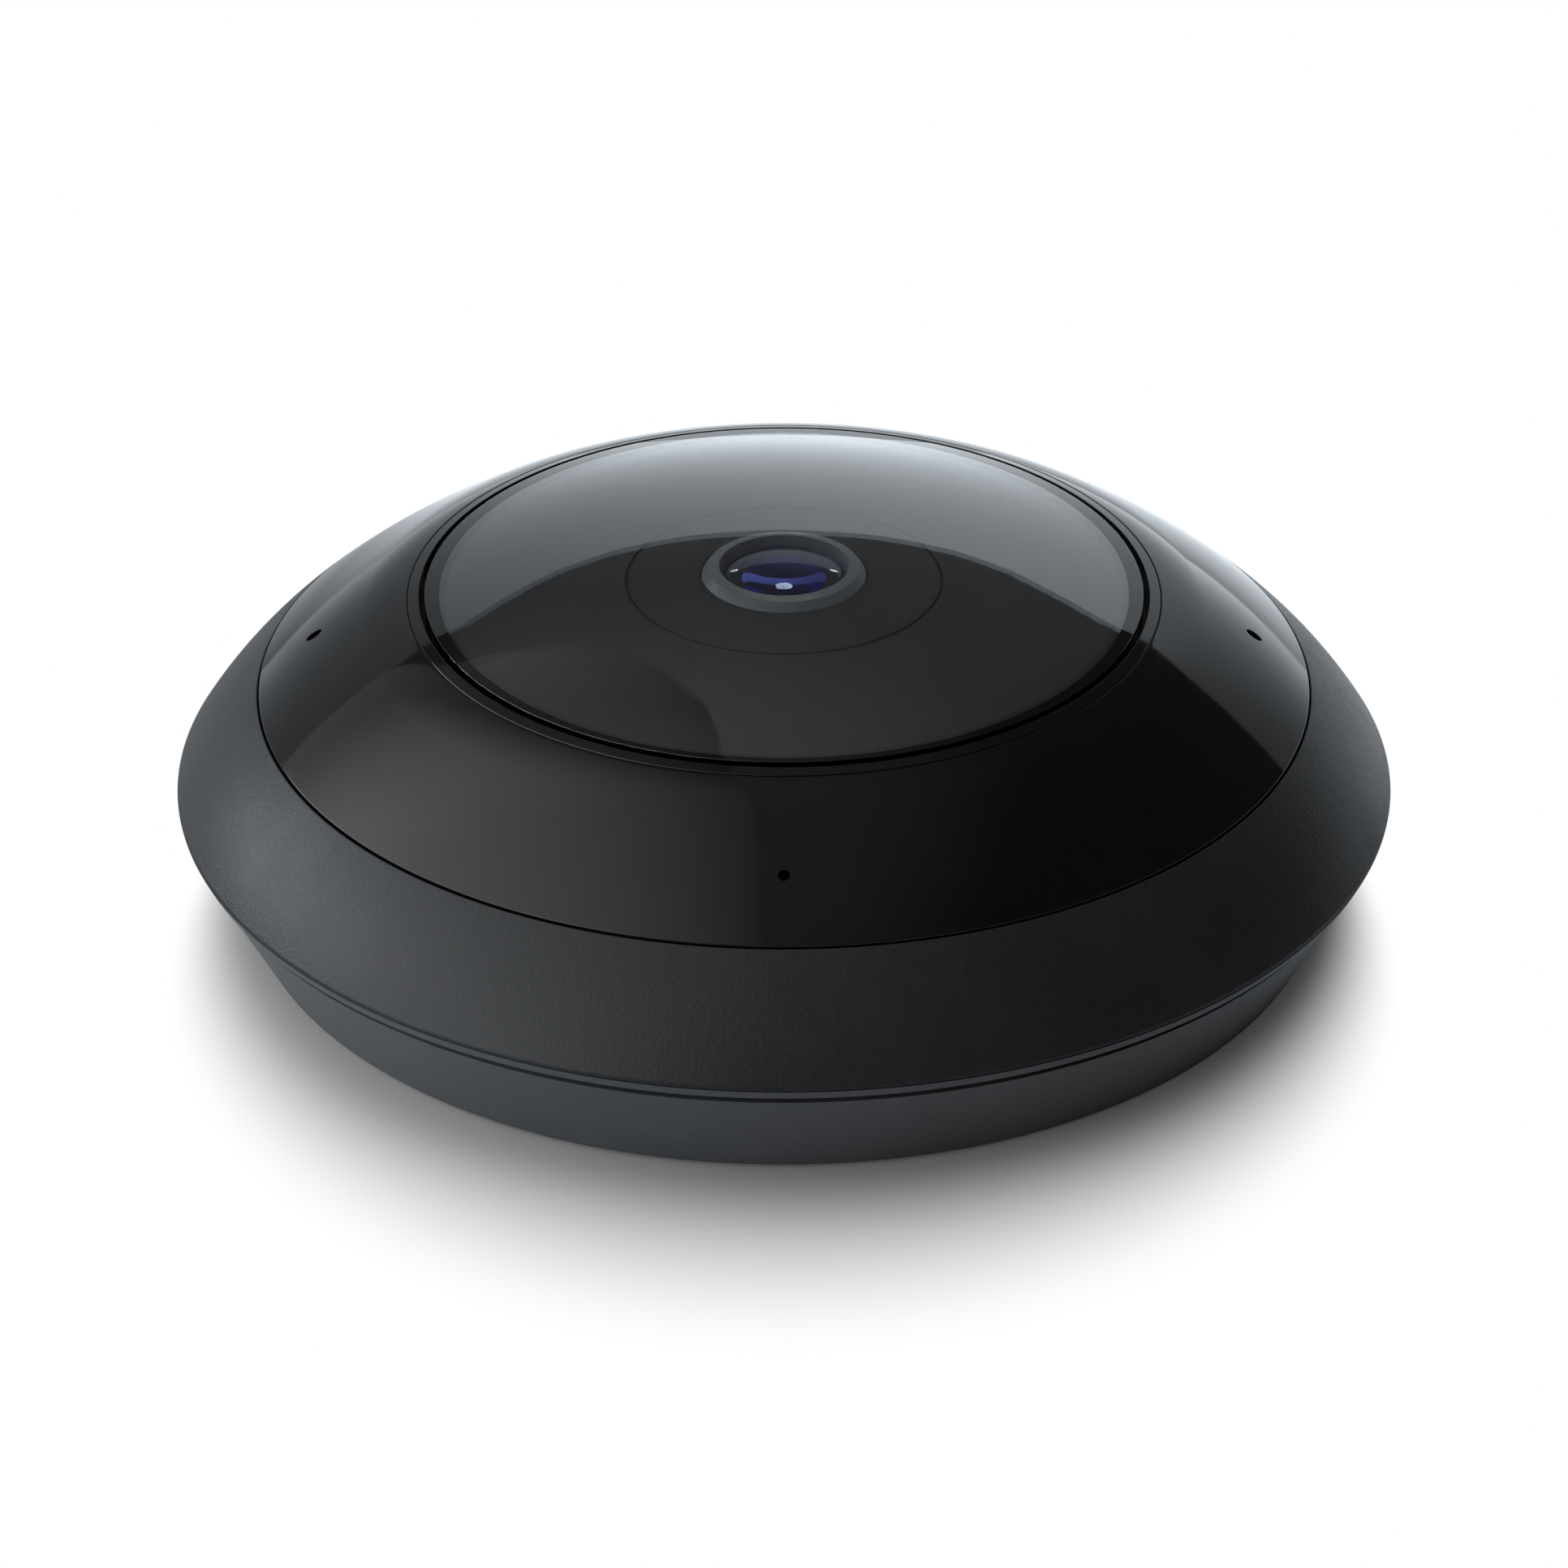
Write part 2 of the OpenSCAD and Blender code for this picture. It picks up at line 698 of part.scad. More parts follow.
// Filter changer: the case under the lens holder, its slider, arm, magnet and coil
case_z = bracket_h - holder_flange_t - case_h;
case_top = case_z + case_h;
slider_z = case_z + sensor_room + web_t + run_gap;
arm_t = 1;
arm_z = slider_z - run_gap - arm_t;
case_x = 30.4;
case_y1 = 12.9;
case_y0 = 26.6;
step_y = 13.3;
deep_t = 1.2;
filter_t = 0.6;
slider_edge = 0.9;
slider_ledge = 0.5;
slider_x = filter_pitch + filter_w + 2 * slider_edge;
slider_y = filter_w + 2 * slider_edge;
slider_mid = -filter_pitch / 2;
slider_room_x = slider_x + filter_pitch + 2 * run_gap;
arm_l = filter_pitch / 2 / sin(arm_swing);
pin_r = 0.5;
pin_play = 0.15;
pin_reach = 1.1;
arm_w = 1.8;
hub_r = 2.2;
magnet_r = 2.7;
magnet_t = 1.5;
pivot_r = 0.8;
tab_x = 3.8;
pin_y_far = 9.6;
pivot_y = -pin_y_far - arm_l * cos(arm_swing);
pin_y_near = -pivot_y - arm_l;
tab_end = pin_y_far + pin_r + 2 * pin_play + slider_edge / 2;
sensor_x = 12.6;
sensor_y = 9.6;
sensor_t = 1;
aperture_x = 9.6;
aperture_y = 7.4;
sensor_board_x = 34;
sensor_board_z = case_z - sensor_board_t;
sensor_plug_y = 3;
coil_r = 1.9;
coil_bore_r = 0.8;
yoke_x = 3.1;
yoke_t = 0.8;
coil_y = pivot_y - magnet_r - coil_r - run_gap;
coil_z = case_z + sensor_room;
yoke_front = pivot_y + hub_r - pin_r;

module case_room() {
    z1 = case_top + cut;
    block(sensor_x + 2 * run_gap, sensor_y + 2 * run_gap, case_z - cut, case_z + sensor_room);
    block(aperture_x, aperture_y, case_z, z1);
    block(slider_room_x, slider_y + 2 * run_gap, slider_z - run_gap, z1);
    tab_half = filter_pitch / 2 + tab_x / 2 + run_gap;
    translate([-tab_half, -tab_end - run_gap, slider_z - run_gap])
        cube([2 * tab_half, tab_end, z1 - slider_z + run_gap]);
    arm_reach = arm_l + arm_w / 2 + run_gap;
    swing_x = arm_reach * sin(arm_swing) + arm_w;
    translate([0, 0, arm_z - run_gap]) linear_extrude(z1 - arm_z + run_gap) polygon([
        [-magnet_r - run_gap, pivot_y], [-swing_x, -pin_y_far], [-swing_x, arm_reach + pivot_y],
        [swing_x, arm_reach + pivot_y], [swing_x, -pin_y_far], [magnet_r + run_gap, pivot_y]
    ]);
    translate([0, pivot_y, 0]) rod(magnet_r + run_gap, arm_z - run_gap, z1);
    half_x = yoke_x + yoke_t + seat_gap;
    deep_y = coil_y - coil_r - seat_gap;
    translate([-half_x, deep_y, coil_z - coil_r - seat_gap])
        cube([2 * half_x, yoke_front + seat_gap - deep_y, z1 - coil_z + coil_r + seat_gap]);
}

module filter_case() {
    deep_z = coil_z - coil_r - seat_gap - deep_t;
    color("#202124") {
        difference() {
            union() {
                translate([-case_x / 2, -case_y0, case_z]) cube([case_x, case_y0 + case_y1, case_h]);
                translate([-case_x / 2, -case_y0, deep_z])
                    cube([case_x, case_y0 - step_y, case_z - deep_z + cut]);
            }
            case_room();
            holder_screw_places()
                rod(holder_shank_r + seat_gap, case_z - cut, case_top + cut);
        }
        translate([0, pivot_y, 0]) rod(pivot_r, deep_z + deep_t / 2, case_top - seat_gap);
    }
}

module lens_holder() {
    color("#232427") difference() {
        union() {
            translate([-case_x / 2, -case_y0, case_top])
                cube([case_x, case_y0 + case_y1, holder_flange_t]);
            rod(holder_tube_r, case_top, holder_top);
        }
        rod(barrel_d / 2 + seat_gap, case_top - cut, holder_top + cut);
        holder_screw_places()
            rod(holder_shank_r + seat_gap, case_top - cut, bracket_h + cut);
    }
}

module holder_screws() {
    length = bracket_h + holder_bite - sensor_board_z;
    color("#9b9ea2") holder_screw_places() translate([0, 0, sensor_board_z])
        rotate([180, 0, 0]) screw(holder_head_r, holder_head_t, holder_shank_r, length);
}

module sensor_board() {
    color("#1d4536") difference() {
        translate([-sensor_board_x / 2, -step_y + cut, sensor_board_z])
            cube([sensor_board_x, step_y - cut + case_y1, sensor_board_t]);
        holder_screw_places()
            rod(holder_shank_r + seat_gap, sensor_board_z - cut, case_z + cut);
    }
    color("#e6e2d6") translate([0, sensor_plug_y, 0])
        block(flat_cable_w + 2 * plug_cheek, socket_y,
            sensor_board_z - sensor_plug_h, sensor_board_z);
}

module image_sensor() {
    color("#3b4a5a") block(sensor_x, sensor_y, case_z, case_z + sensor_t);
}

module filter_window(x, y, h0, h1, shift) {
    translate([shift, 0, 0]) block(x, y, h0, h1);
}

module filter_slider() {
    seat_w = filter_w + seat_gap;
    open_w = filter_w - 2 * slider_ledge;
    top = slider_z + slider_t;
    seat_z = slider_z + slider_ledge;
    slot_y0 = pin_y_near - pin_r - pin_play;
    slot_y1 = pin_y_far + pin_r + pin_play;
    color("#2c2d30") difference() {
        union() {
            translate([slider_mid, 0, 0]) block(slider_x, slider_y, slider_z, top);
            translate([slider_mid - tab_x / 2, -tab_end, slider_z])
                cube([tab_x, tab_end, slider_t]);
        }
        for (shift = [0, -filter_pitch]) {
            filter_window(seat_w, seat_w, seat_z, top + cut, shift);
            filter_window(open_w, open_w, slider_z - cut, top + cut, shift);
        }
        translate([slider_mid - pin_r - pin_play, -slot_y1, slider_z - cut])
            cube([2 * (pin_r + pin_play), slot_y1 - slot_y0, slider_t + 2 * cut]);
    }
}

module filter_glass(shift) {
    seat_z = slider_z + slider_ledge;
    filter_window(filter_w, filter_w, seat_z, seat_z + filter_t, shift);
}

module ir_filter_glass() {
    color("#7fc7c9") filter_glass(0);
}

module clear_filter_glass() {
    color("#dfe9ea") filter_glass(-filter_pitch);
}

module filter_arm() {
    color("#d8d5cc") translate([0, pivot_y, 0]) rotate(arm_swing) difference() {
        union() {
            rod(hub_r, arm_z, arm_z + arm_t);
            translate([-arm_w / 2, 0, arm_z]) cube([arm_w, arm_l, arm_t]);
            translate([0, arm_l, 0]) rod(arm_w / 2, arm_z, arm_z + arm_t);
            translate([0, arm_l, 0]) rod(pin_r, arm_z, slider_z + pin_reach);
        }
        rod(pivot_r + pivot_gap, arm_z - cut, arm_z + arm_t + cut);
    }
}

module arm_magnet() {
    z = arm_z + arm_t;
    color("#6f7275") translate([0, pivot_y, 0])
        tube(magnet_r, pivot_r + pivot_gap, z, z + magnet_t);
}

module filter_coil() {
    color("#b4622f") translate([-yoke_x + seat_gap, coil_y, coil_z]) rotate([0, 90, 0])
        tube(coil_r, coil_bore_r + seat_gap / 2, 0, 2 * (yoke_x - seat_gap));
}

module coil_yoke() {
    leg_z0 = coil_z - coil_bore_r;
    leg_y0 = coil_y - coil_bore_r;
    color("#9fa3a6") {
        for (side = [-1, 1])
            translate([side * (yoke_x + yoke_t / 2), 0, 0])
                translate([-yoke_t / 2, leg_y0, leg_z0])
                    cube([yoke_t, yoke_front - leg_y0, 2 * coil_bore_r]);
        translate([0, coil_y, coil_z]) rotate([0, 90, 0]) rod(coil_bore_r, -yoke_x, yoke_x);
    }
}

// The shroud and lens plate share one cone, which falls from the bezel outwards.
shroud_h = trim_h - shroud_drop;
lens_plate_h = shroud_h + shroud_rise;
plate_seam_r = lens_plate_d / 2;
shroud_round = 1.3;
shroud_skirt_l = 6.9;
shroud_skirt_h = shroud_h - shroud_skirt_l;
shroud_lean = shroud_rise / (shroud_r - plate_seam_r);
function shroud_at(r) = lens_plate_h - (r - plate_seam_r) * shroud_lean;
lens_plate_t = 1.4;
ledge_w = 2.6;
bezel_r = bezel_d / 2;
bezel_top_r = bezel_top_d / 2;
bezel_bore_r = bezel_bore_d / 2;
bezel_foot_h = shroud_at(bezel_r);
bezel_top_h = bezel_foot_h + bezel_stand;
bezel_flange_w = 1.5;
bezel_flange_r = bezel_r + bezel_flange_w;
bezel_flange_t = 0.9;
bezel_fall = 0.2;

// Lens: threaded barrel with a wider head, front glass and inner elements
barrel_r = barrel_d / 2;
barrel_bottom = case_top + 2 * run_gap;
barrel_sink = 2.25;
barrel_head_l = 4.3;
barrel_top = bezel_top_h - barrel_sink;
barrel_neck = barrel_top - barrel_head_l;
barrel_head_r = bezel_bore_r - seat_gap;
holder_top = barrel_neck - run_gap;
barrel_bore_r = 5;
barrel_lip = 0.8;
front_seat_t = 1.4;
front_seat_h = barrel_top - front_seat_t;
front_edge_t = 0.5;
front_rise = 2.2;
front_r = front_glass_d / 2;
element_count = 3;
element_t = 1.8;
element_rise = 0.7;
element_pitch = (front_seat_h - barrel_bottom - barrel_lip) / element_count;

module lens_barrel() {
    color("#17181a") difference() {
        union() {
            rod(barrel_r, barrel_bottom, barrel_top);
            rod(barrel_head_r, barrel_neck, barrel_top);
        }
        rod(barrel_bore_r - barrel_lip, barrel_bottom - cut, barrel_top);
        rod(barrel_bore_r, barrel_bottom + barrel_lip, front_seat_h);
        rod(front_r + seat_gap, front_seat_h, barrel_top + cut);
    }
}

// A glass with a flat edge band and a spherical crown
module glass(r, z, edge, rise) {
    ball_r = (r * r + rise * rise) / (2 * rise);
    turned() {
        zone(0, r, z, z + edge);
        intersection() {
            disc_at([0, z + edge + rise - ball_r], ball_r);
            zone(0, r, z, z + edge + rise);
        }
    }
}

module lens_elements() {
    first = front_seat_h - element_pitch;
    color("#8fa0c8") for (i = [0 : element_count - 1])
        glass(barrel_bore_r - seat_gap / 2, first - i * element_pitch,
            element_t - element_rise, element_rise);
}

module lens_front_glass() {
    color("#3d4a86") glass(front_r, front_seat_h, front_edge_t, front_rise);
}

module lens_bezel() {
    flange_top = shroud_at(bezel_flange_r) - lens_plate_t - seat_gap;
    color("#4a4d50") turned() polygon([
        [bezel_bore_r, flange_top - bezel_flange_t], [bezel_flange_r, flange_top - bezel_flange_t],
        [bezel_flange_r, flange_top], [bezel_r, flange_top], [bezel_r, bezel_foot_h],
        [bezel_top_r, bezel_top_h - bezel_fall], [bezel_bore_r, bezel_top_h]
    ]);
}

module lens_plate() {
    r0 = bezel_r + seat_gap;
    r1 = plate_seam_r - seat_gap;
    color("#2e2f31") turned() polygon([
        [r0, shroud_at(r0)], [r1, shroud_at(r1)],
        [r1, shroud_at(r1) - lens_plate_t], [r0, shroud_at(r0) - lens_plate_t]
    ]);
}

module inner_shroud() {
    tilt = atan(shroud_lean);
    corner = [shroud_r - shroud_round,
        shroud_at(shroud_r - shroud_round) - shroud_round / cos(tilt)];
    corner_top = corner + shroud_round * out_dir(tilt);
    bore_r = plate_seam_r - ledge_w;
    ledge = lens_plate_t + seat_gap;
    in_r = shroud_r - shroud_t;
    color("#2e2f31") difference() {
        union() {
            turned() difference() {
                union() {
                    polygon([
                        [plate_seam_r, shroud_at(plate_seam_r)], corner_top,
                        corner, [shroud_r, corner[1]], [shroud_r, shroud_skirt_h],
                        [in_r, shroud_skirt_h], [in_r, corner[1] - cut],
                        [in_r - shroud_t, shroud_at(in_r) - shroud_t],
                        [plate_seam_r, shroud_at(plate_seam_r) - ledge - shroud_t],
                        [bore_r, shroud_at(bore_r) - ledge - shroud_t],
                        [bore_r, shroud_at(bore_r) - ledge],
                        [plate_seam_r, shroud_at(plate_seam_r) - ledge]
                    ]);
                    disc_at(corner, shroud_round);
                }
                zone(0, in_r, shroud_skirt_h - cut, corner[1] - cut);
            }
            around(shroud_post_count, shroud_post_r, shroud_post_angle)
                rod(shroud_head_r + cut, bracket_top, shroud_at(shroud_post_r) - shroud_t / 2
                    - (shroud_head_r + cut) * shroud_lean);
        }
        around(shroud_post_count, shroud_post_r, shroud_post_angle)
            rod(shroud_shank_r + seat_gap / 2, bracket_top - cut,
                bracket_h + shroud_shank_l + seat_gap);
    }
}

module shroud_screws() {
    color("#a7abaf") around(shroud_post_count, shroud_post_r, shroud_post_angle)
        translate([0, 0, bracket_h]) rotate([180, 0, 0])
            screw(shroud_head_r, shroud_head_t, shroud_shank_r, shroud_shank_l);
}

// Window, its gasket and the glossy trim ring that frames it
seat_ledge_w = 2.2;
seat_drop = 2.2;
seat_h = trim_h - seat_drop;
seat_t = 1.9;
baffle_t = 1;
trim_flange_r = ir_board_r0 + seat_gap + baffle_t;
trim_flange_t = 1.5;
trim_bottom = seat_h - seat_t - trim_flange_t;

module dome_window() {
    color([0.8, 0.85, 0.9, 0.35]) turned() intersection() {
        difference() {
            disc_at(crown_c, crown_arc_r);
            disc_at(crown_c, crown_arc_r - window_t);
        }
        zone(0, window_r, 0, crown_h);
    }
}

module window_gasket() {
    r1 = window_r - seat_gap;
    color("#0c0d0e") turned() intersection() {
        disc_at(crown_c, crown_arc_r - window_t - seat_gap);
        zone(trim_bore_r - seat_ledge_w + seat_gap, r1, seat_h, crown_h);
    }
}

module window_trim_ring() {
    color("#141517") turned() intersection() {
        under_skin(0);
        union() {
            zone(trim_bore_r, trim_r, trim_bottom, crown_h);
            zone(trim_bore_r - seat_ledge_w, trim_r, seat_h - seat_t, seat_h);
            zone(trim_bore_r, trim_flange_r, trim_bottom, trim_bottom + trim_flange_t);
        }
    }
}

// Glossy ring: thin shell with an inner skirt on the trim ring and an outer one on the shelf
module at_mics() {
    mic_r = shoulder_r + mic_inset;
    place_h = arc_h(gloss_c, gloss_arc_r, mic_r);
    mic_slope = asin((mic_r - gloss_c[0]) / gloss_arc_r);
    for (i = [0 : mic_count - 1])
        rotate(i * 360 / mic_count) translate([mic_r, 0, place_h])
            rotate([0, mic_slope, 0]) children();
}

module ir_cover() {
    r0 = trim_r + seat_gap;
    r1 = cover_seam_r - seat_gap;
    skirt_h = trim_bottom + trim_flange_t + seat_gap;
    color("#0d0e10") difference() {
        turned() difference() {
            intersection() {
                under_skin(0);
                union() {
                    zone(r0, r0 + inner_skirt_t, skirt_h, crown_h);
                    zone(r0 + inner_skirt_t, r1, shelf_top, crown_h);
                }
            }
            intersection() {
                under_skin(cover_t);
                zone(r0 + inner_skirt_t, r1 - outer_skirt_t, 0, crown_h);
            }
        }
        at_mics() rod(mic_hole_d / 2, -2 * cover_t, cover_t);
    }
}

// Lamp board on the cover's shelf, its lamps, screws and light seal
ir_board_t = 1.2;
led_r = (ir_board_r0 + ir_board_r1) / 2;
led_w = 3.5;
led_t = 1.2;
led_lens_r = 1.4;
ir_screw_inset = 2.1;
ir_screw_r = ir_board_r1 - ir_screw_inset;
ir_shank_r = 0.9;
ir_head_r = 1.8;
ir_head_t = 1.1;
ir_bite = 1.8;
ir_screw_count = 4;
ir_board_top = shelf_top + ir_board_t;

module ir_board() {
    color("#e9e9e6") difference() {
        tube(ir_board_r1, ir_board_r0, shelf_top, ir_board_top);
        around(ir_screw_count, ir_screw_r, 45)
            rod(ir_shank_r + seat_gap, shelf_top - cut, ir_board_top + cut);
    }
}

module ir_leds() {
    color("#c9b24f") around(led_count, led_r, 180 / led_count) {
        block(led_w, led_w, ir_board_top, ir_board_top + led_t);
        translate([0, 0, ir_board_top + led_t]) intersection() {
            sphere(led_lens_r);
            rod(led_lens_r, 0, led_lens_r);
        }
    }
}

module ir_board_screws() {
    color("#a7abaf") around(ir_screw_count, ir_screw_r, 45) translate([0, 0, ir_board_top])
        screw(ir_head_r, ir_head_t, ir_shank_r, ir_board_t + ir_bite);
}

module baffle_ring() {
    r0 = ir_board_r0 + seat_gap;
    color("#131415") tube(r0 + baffle_t, r0, ir_board_top, trim_bottom);
}

// Microphones: each one sits on its own small board behind a rubber boot
boot_r = 2.6;
boot_t = 1.6;
boot_bore_r = 0.6;
mic_x = 3.5;
mic_y = 2.65;
mic_t = 1;
mic_board_w = 5.2;
mic_board_t = 0.8;
boot_top = -cover_t - seat_gap;

module mic_boots() {
    color("#18191a") at_mics() tube(boot_r, boot_bore_r, boot_top - boot_t, boot_top);
}

module microphones() {
    top = boot_top - boot_t;
    color("#c7b78a") at_mics() block(mic_x, mic_y, top - mic_t, top);
}

module mic_boards() {
    top = boot_top - boot_t - mic_t;
    color("#1d4536") at_mics() block(mic_board_w, mic_board_w, top - mic_board_t, top);
}

// Outer cover: matte ring with its rounded rim, lip, shelf and screw bosses
shelf_root = 2.4;

module cover_profile() {
    lip_p = rim_point(lip_slope);
    difference() {
        union() {
            intersection() {
                under_skin(0);
                union() {
                    zone(cover_seam_r + seat_gap, rim_p[0], rim_p[1], crown_h);
                    zone(shelf_r0, cover_seam_r + shelf_root, shelf_h, shelf_top);
                }
            }
            disc_at(rim_c, rim_round);
            polygon([
                [spigot_r, lip_h], [lip_r, lip_h], lip_p, rim_p, [spigot_r, rim_p[1]]
            ]);
        }
        intersection() {
            under_skin(cover_t);
            zone(0, spigot_r + seat_gap, lip_h - cut, shelf_h);
        }
        zone(0, spigot_r + seat_gap, lip_h - cut, lip_h + spigot_h);
    }
}

module outer_cover() {
    color("#2a2d30") difference() {
        union() {
            turned() cover_profile();
            around(cover_screw_count, cover_screw_r, cover_screw_angle)
                rod(cover_boss_r, cover_boss_h + seat_gap, shelf_h + cut);
        }
        around(cover_screw_count, cover_screw_r, cover_screw_angle)
            rod(cover_screw_shank_r + seat_gap / 2, cover_boss_h - cut,
                floor_h + cover_screw_l + seat_gap);
        around(ir_screw_count, ir_screw_r, 45)
            rod(ir_shank_r + seat_gap / 2, shelf_top - ir_bite - seat_gap, shelf_top + cut);
    }
}

cover_head_r = 2.8;
cover_head_t = 1.6;

module cover_screws() {
    color("#8d9094") around(cover_screw_count, cover_screw_r, cover_screw_angle)
        translate([0, 0, floor_h]) rotate([180, 0, 0])
            screw(cover_head_r, cover_head_t, cover_screw_shank_r, cover_screw_l);
}

// Flat cables between the boards
module sensor_flex() {
    y0 = sensor_plug_y + socket_y / 2;
    y1 = sensor_socket_y - socket_y / 2;
    z0 = sensor_board_z - sensor_plug_h / 2;
    z1 = board_top + socket_h / 2;
    bend = socket_y / 2;
    color("#b5793a") translate([-flat_cable_w / 2, 0, 0]) rotate([90, 0, 90])
        linear_extrude(flat_cable_w) polygon([
            [y0, z0], [y0 + bend, z0], [y1 - bend, z1], [y1, z1],
            [y1, z1 + cable_t], [y1 - bend, z1 + cable_t],
            [y0 + bend, z0 + cable_t], [y0, z0 + cable_t]
        ]);
}

module ir_flex() {
    color("#b5793a") translate([ir_socket_x, 0, 0])
        block(cable_t, flat_cable_w - 2 * cable_t, board_top + socket_h, shelf_top);
}

mount_plate();
bayonet_studs();
lock_screw();
rear_housing();
cover_seal();
vent_membrane();
reset_button();
reset_switch();
ethernet_jack();
jack_contacts();
jack_seal();
main_board();
processor();
thermal_pad();
poe_transformer();
power_capacitors();
board_connectors();
standoffs();
lens_bracket();
bracket_screws();
sensor_board();
image_sensor();
filter_case();
lens_holder();
holder_screws();
filter_slider();
ir_filter_glass();
clear_filter_glass();
filter_arm();
arm_magnet();
filter_coil();
coil_yoke();
lens_barrel();
lens_elements();
lens_front_glass();
lens_bezel();
lens_plate();
inner_shroud();
shroud_screws();
dome_window();
window_gasket();
window_trim_ring();
ir_cover();
baffle_ring();
ir_board();
ir_leds();
ir_board_screws();
microphones();
mic_boots();
mic_boards();
outer_cover();
cover_screws();
sensor_flex();
ir_flex();
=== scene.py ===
from math import asin, atan2, ceil, cos, degrees, hypot, pi, radians, sin, sqrt

import bmesh
import bpy
from mathutils import Matrix, Vector


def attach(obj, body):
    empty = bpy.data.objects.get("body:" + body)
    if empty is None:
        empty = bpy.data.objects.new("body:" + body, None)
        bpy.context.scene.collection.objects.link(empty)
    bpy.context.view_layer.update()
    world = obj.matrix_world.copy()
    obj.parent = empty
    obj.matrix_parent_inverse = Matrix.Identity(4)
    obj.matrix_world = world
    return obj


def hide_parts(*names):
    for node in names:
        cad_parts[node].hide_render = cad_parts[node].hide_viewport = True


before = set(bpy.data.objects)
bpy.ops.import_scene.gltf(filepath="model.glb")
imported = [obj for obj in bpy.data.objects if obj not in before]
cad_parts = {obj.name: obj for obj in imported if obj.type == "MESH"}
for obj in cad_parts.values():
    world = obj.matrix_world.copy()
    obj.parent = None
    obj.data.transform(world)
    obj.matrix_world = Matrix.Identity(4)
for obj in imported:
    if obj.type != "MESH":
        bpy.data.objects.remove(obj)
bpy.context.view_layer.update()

# Mounting plate: glass-filled nylon disc that is screwed to the ceiling, and the camera twists
# onto it. Injection moulded with a fine spark-eroded grain, which makes it dull and dark grey.
mm = 0.001


def linear(code):
    """The scene's linear colour for a written one, such as 2a2c2f."""
    parts = [int(code[i:i + 2], 16) / 255 for i in (0, 2, 4)]
    return [c / 12.92 if c <= 0.04045 else ((c + 0.055) / 1.055) ** 2.4 for c in parts] + [1]


def add(tree, kind, settings, inputs):
    """A shader node with its settings, and its inputs set to values or linked to sockets."""
    node = tree.nodes.new(kind)
    for key, value in settings.items():
        setattr(node, key, value)
    for key, value in inputs.items():
        if isinstance(value, bpy.types.NodeSocket):
            tree.links.new(value, node.inputs[key])
        else:
            node.inputs[key].default_value = value
    return node


def new_material(name):
    made = bpy.data.materials.new(name)
    made.use_nodes = True
    made.node_tree.nodes.clear()
    return made, made.node_tree


def finish(name, low, high, roughness, grain, relief, spread=0.06, stretch=(1, 1, 1), **sockets):
    """A surface of one stuff: grain in mm drives its relief in mm, grain and slow clouding
    over 20 mm together drive its colour from low to high and its roughness."""
    clouding = 20 * mm
    made, tree = new_material(name)
    place = add(tree, "ShaderNodeTexCoord", {}, {}).outputs["Object"]
    run = add(tree, "ShaderNodeMapping", {}, {"Vector": place, "Scale": stretch}).outputs[0]
    fine = add(tree, "ShaderNodeTexNoise", {}, {
        "Vector": run, "Scale": 1 / (grain * mm), "Detail": 3, "Roughness": 0.6}).outputs[0]
    cloud = add(tree, "ShaderNodeTexNoise", {}, {
        "Vector": place, "Scale": 1 / clouding, "Detail": 4, "Roughness": 0.65}).outputs[0]
    both = add(tree, "ShaderNodeMath", {"operation": "ADD"}, {0: fine, 1: cloud}).outputs[0]
    share = add(tree, "ShaderNodeMapRange", {}, {
        "Value": both, "From Min": 0.7, "From Max": 1.3}).outputs[0]
    colour = add(tree, "ShaderNodeMix", {"data_type": "RGBA"}, {
        0: share, 6: linear(low), 7: linear(high)}).outputs[2]
    rough = add(tree, "ShaderNodeMapRange", {}, {
        "Value": share, "To Min": roughness - spread, "To Max": roughness + spread}).outputs[0]
    bump = add(tree, "ShaderNodeBump", {}, {
        "Height": fine, "Distance": relief * mm, "Strength": 1}).outputs[0]
    shader = add(tree, "ShaderNodeBsdfPrincipled", {}, {
        "Base Color": colour, "Roughness": rough, "Normal": bump, **sockets})
    add(tree, "ShaderNodeOutputMaterial", {}, {"Surface": shader.outputs[0]})
    return made


def dress(material, *names):
    """Puts a material on CAD nodes, which keep their own shape."""
    for name in names:
        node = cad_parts[name]
        for entry in node.material_slots:
            entry.material = material


dress(finish("grained_nylon", "232528", "303336", 0.55, 0.5, 0.02), "mount_plate")

# Bayonet studs, screws and the lock screw: steel, cold headed or turned, zinc plated. The
# plating is bright with a fine grain, and slightly duller where tools and hands have been.
zinc = finish("zinc_plated_steel", "8e9298", "b4b7bb", 0.32, 0.12, 0.003, 0.08, Metallic=1)
dress(zinc, "bayonet_studs", "bracket_screws", "holder_screws", "shroud_screws",
      "ir_board_screws", "cover_screws")
dress(finish("dark_zinc_steel", "5d6066", "7b7e83", 0.36, 0.12, 0.003, Metallic=1), "lock_screw")

# Rear housing: die-cast aluminium tray that carries every other piece, and whose band shows
# below the cover. Its powder coat is satin grey with a soft orange peel.
coat = finish("satin_powder_coat", "585c60", "63666a", 0.5, 0.9, 0.012, 0.05,
              **{"Specular IOR Level": 0.25})
dress(coat, "rear_housing")

# Seals, boots, the light baffle and the thermal pad: moulded silicone rubber, foamed rubber
# and a soft filled pad, all pressed between their neighbours. Dull and a little dusty.
rubber = finish("silicone_rubber", "0d0e0f", "17181a", 0.78, 0.35, 0.01)
dress(rubber, "jack_seal", "mic_boots")
dress(finish("foamed_rubber", "0e0f10", "1b1c1e", 0.9, 0.6, 0.12), "baffle_ring")
dress(finish("thermal_gap_pad", "7c909b", "8fa2ad", 0.8, 0.25, 0.01), "thermal_pad")

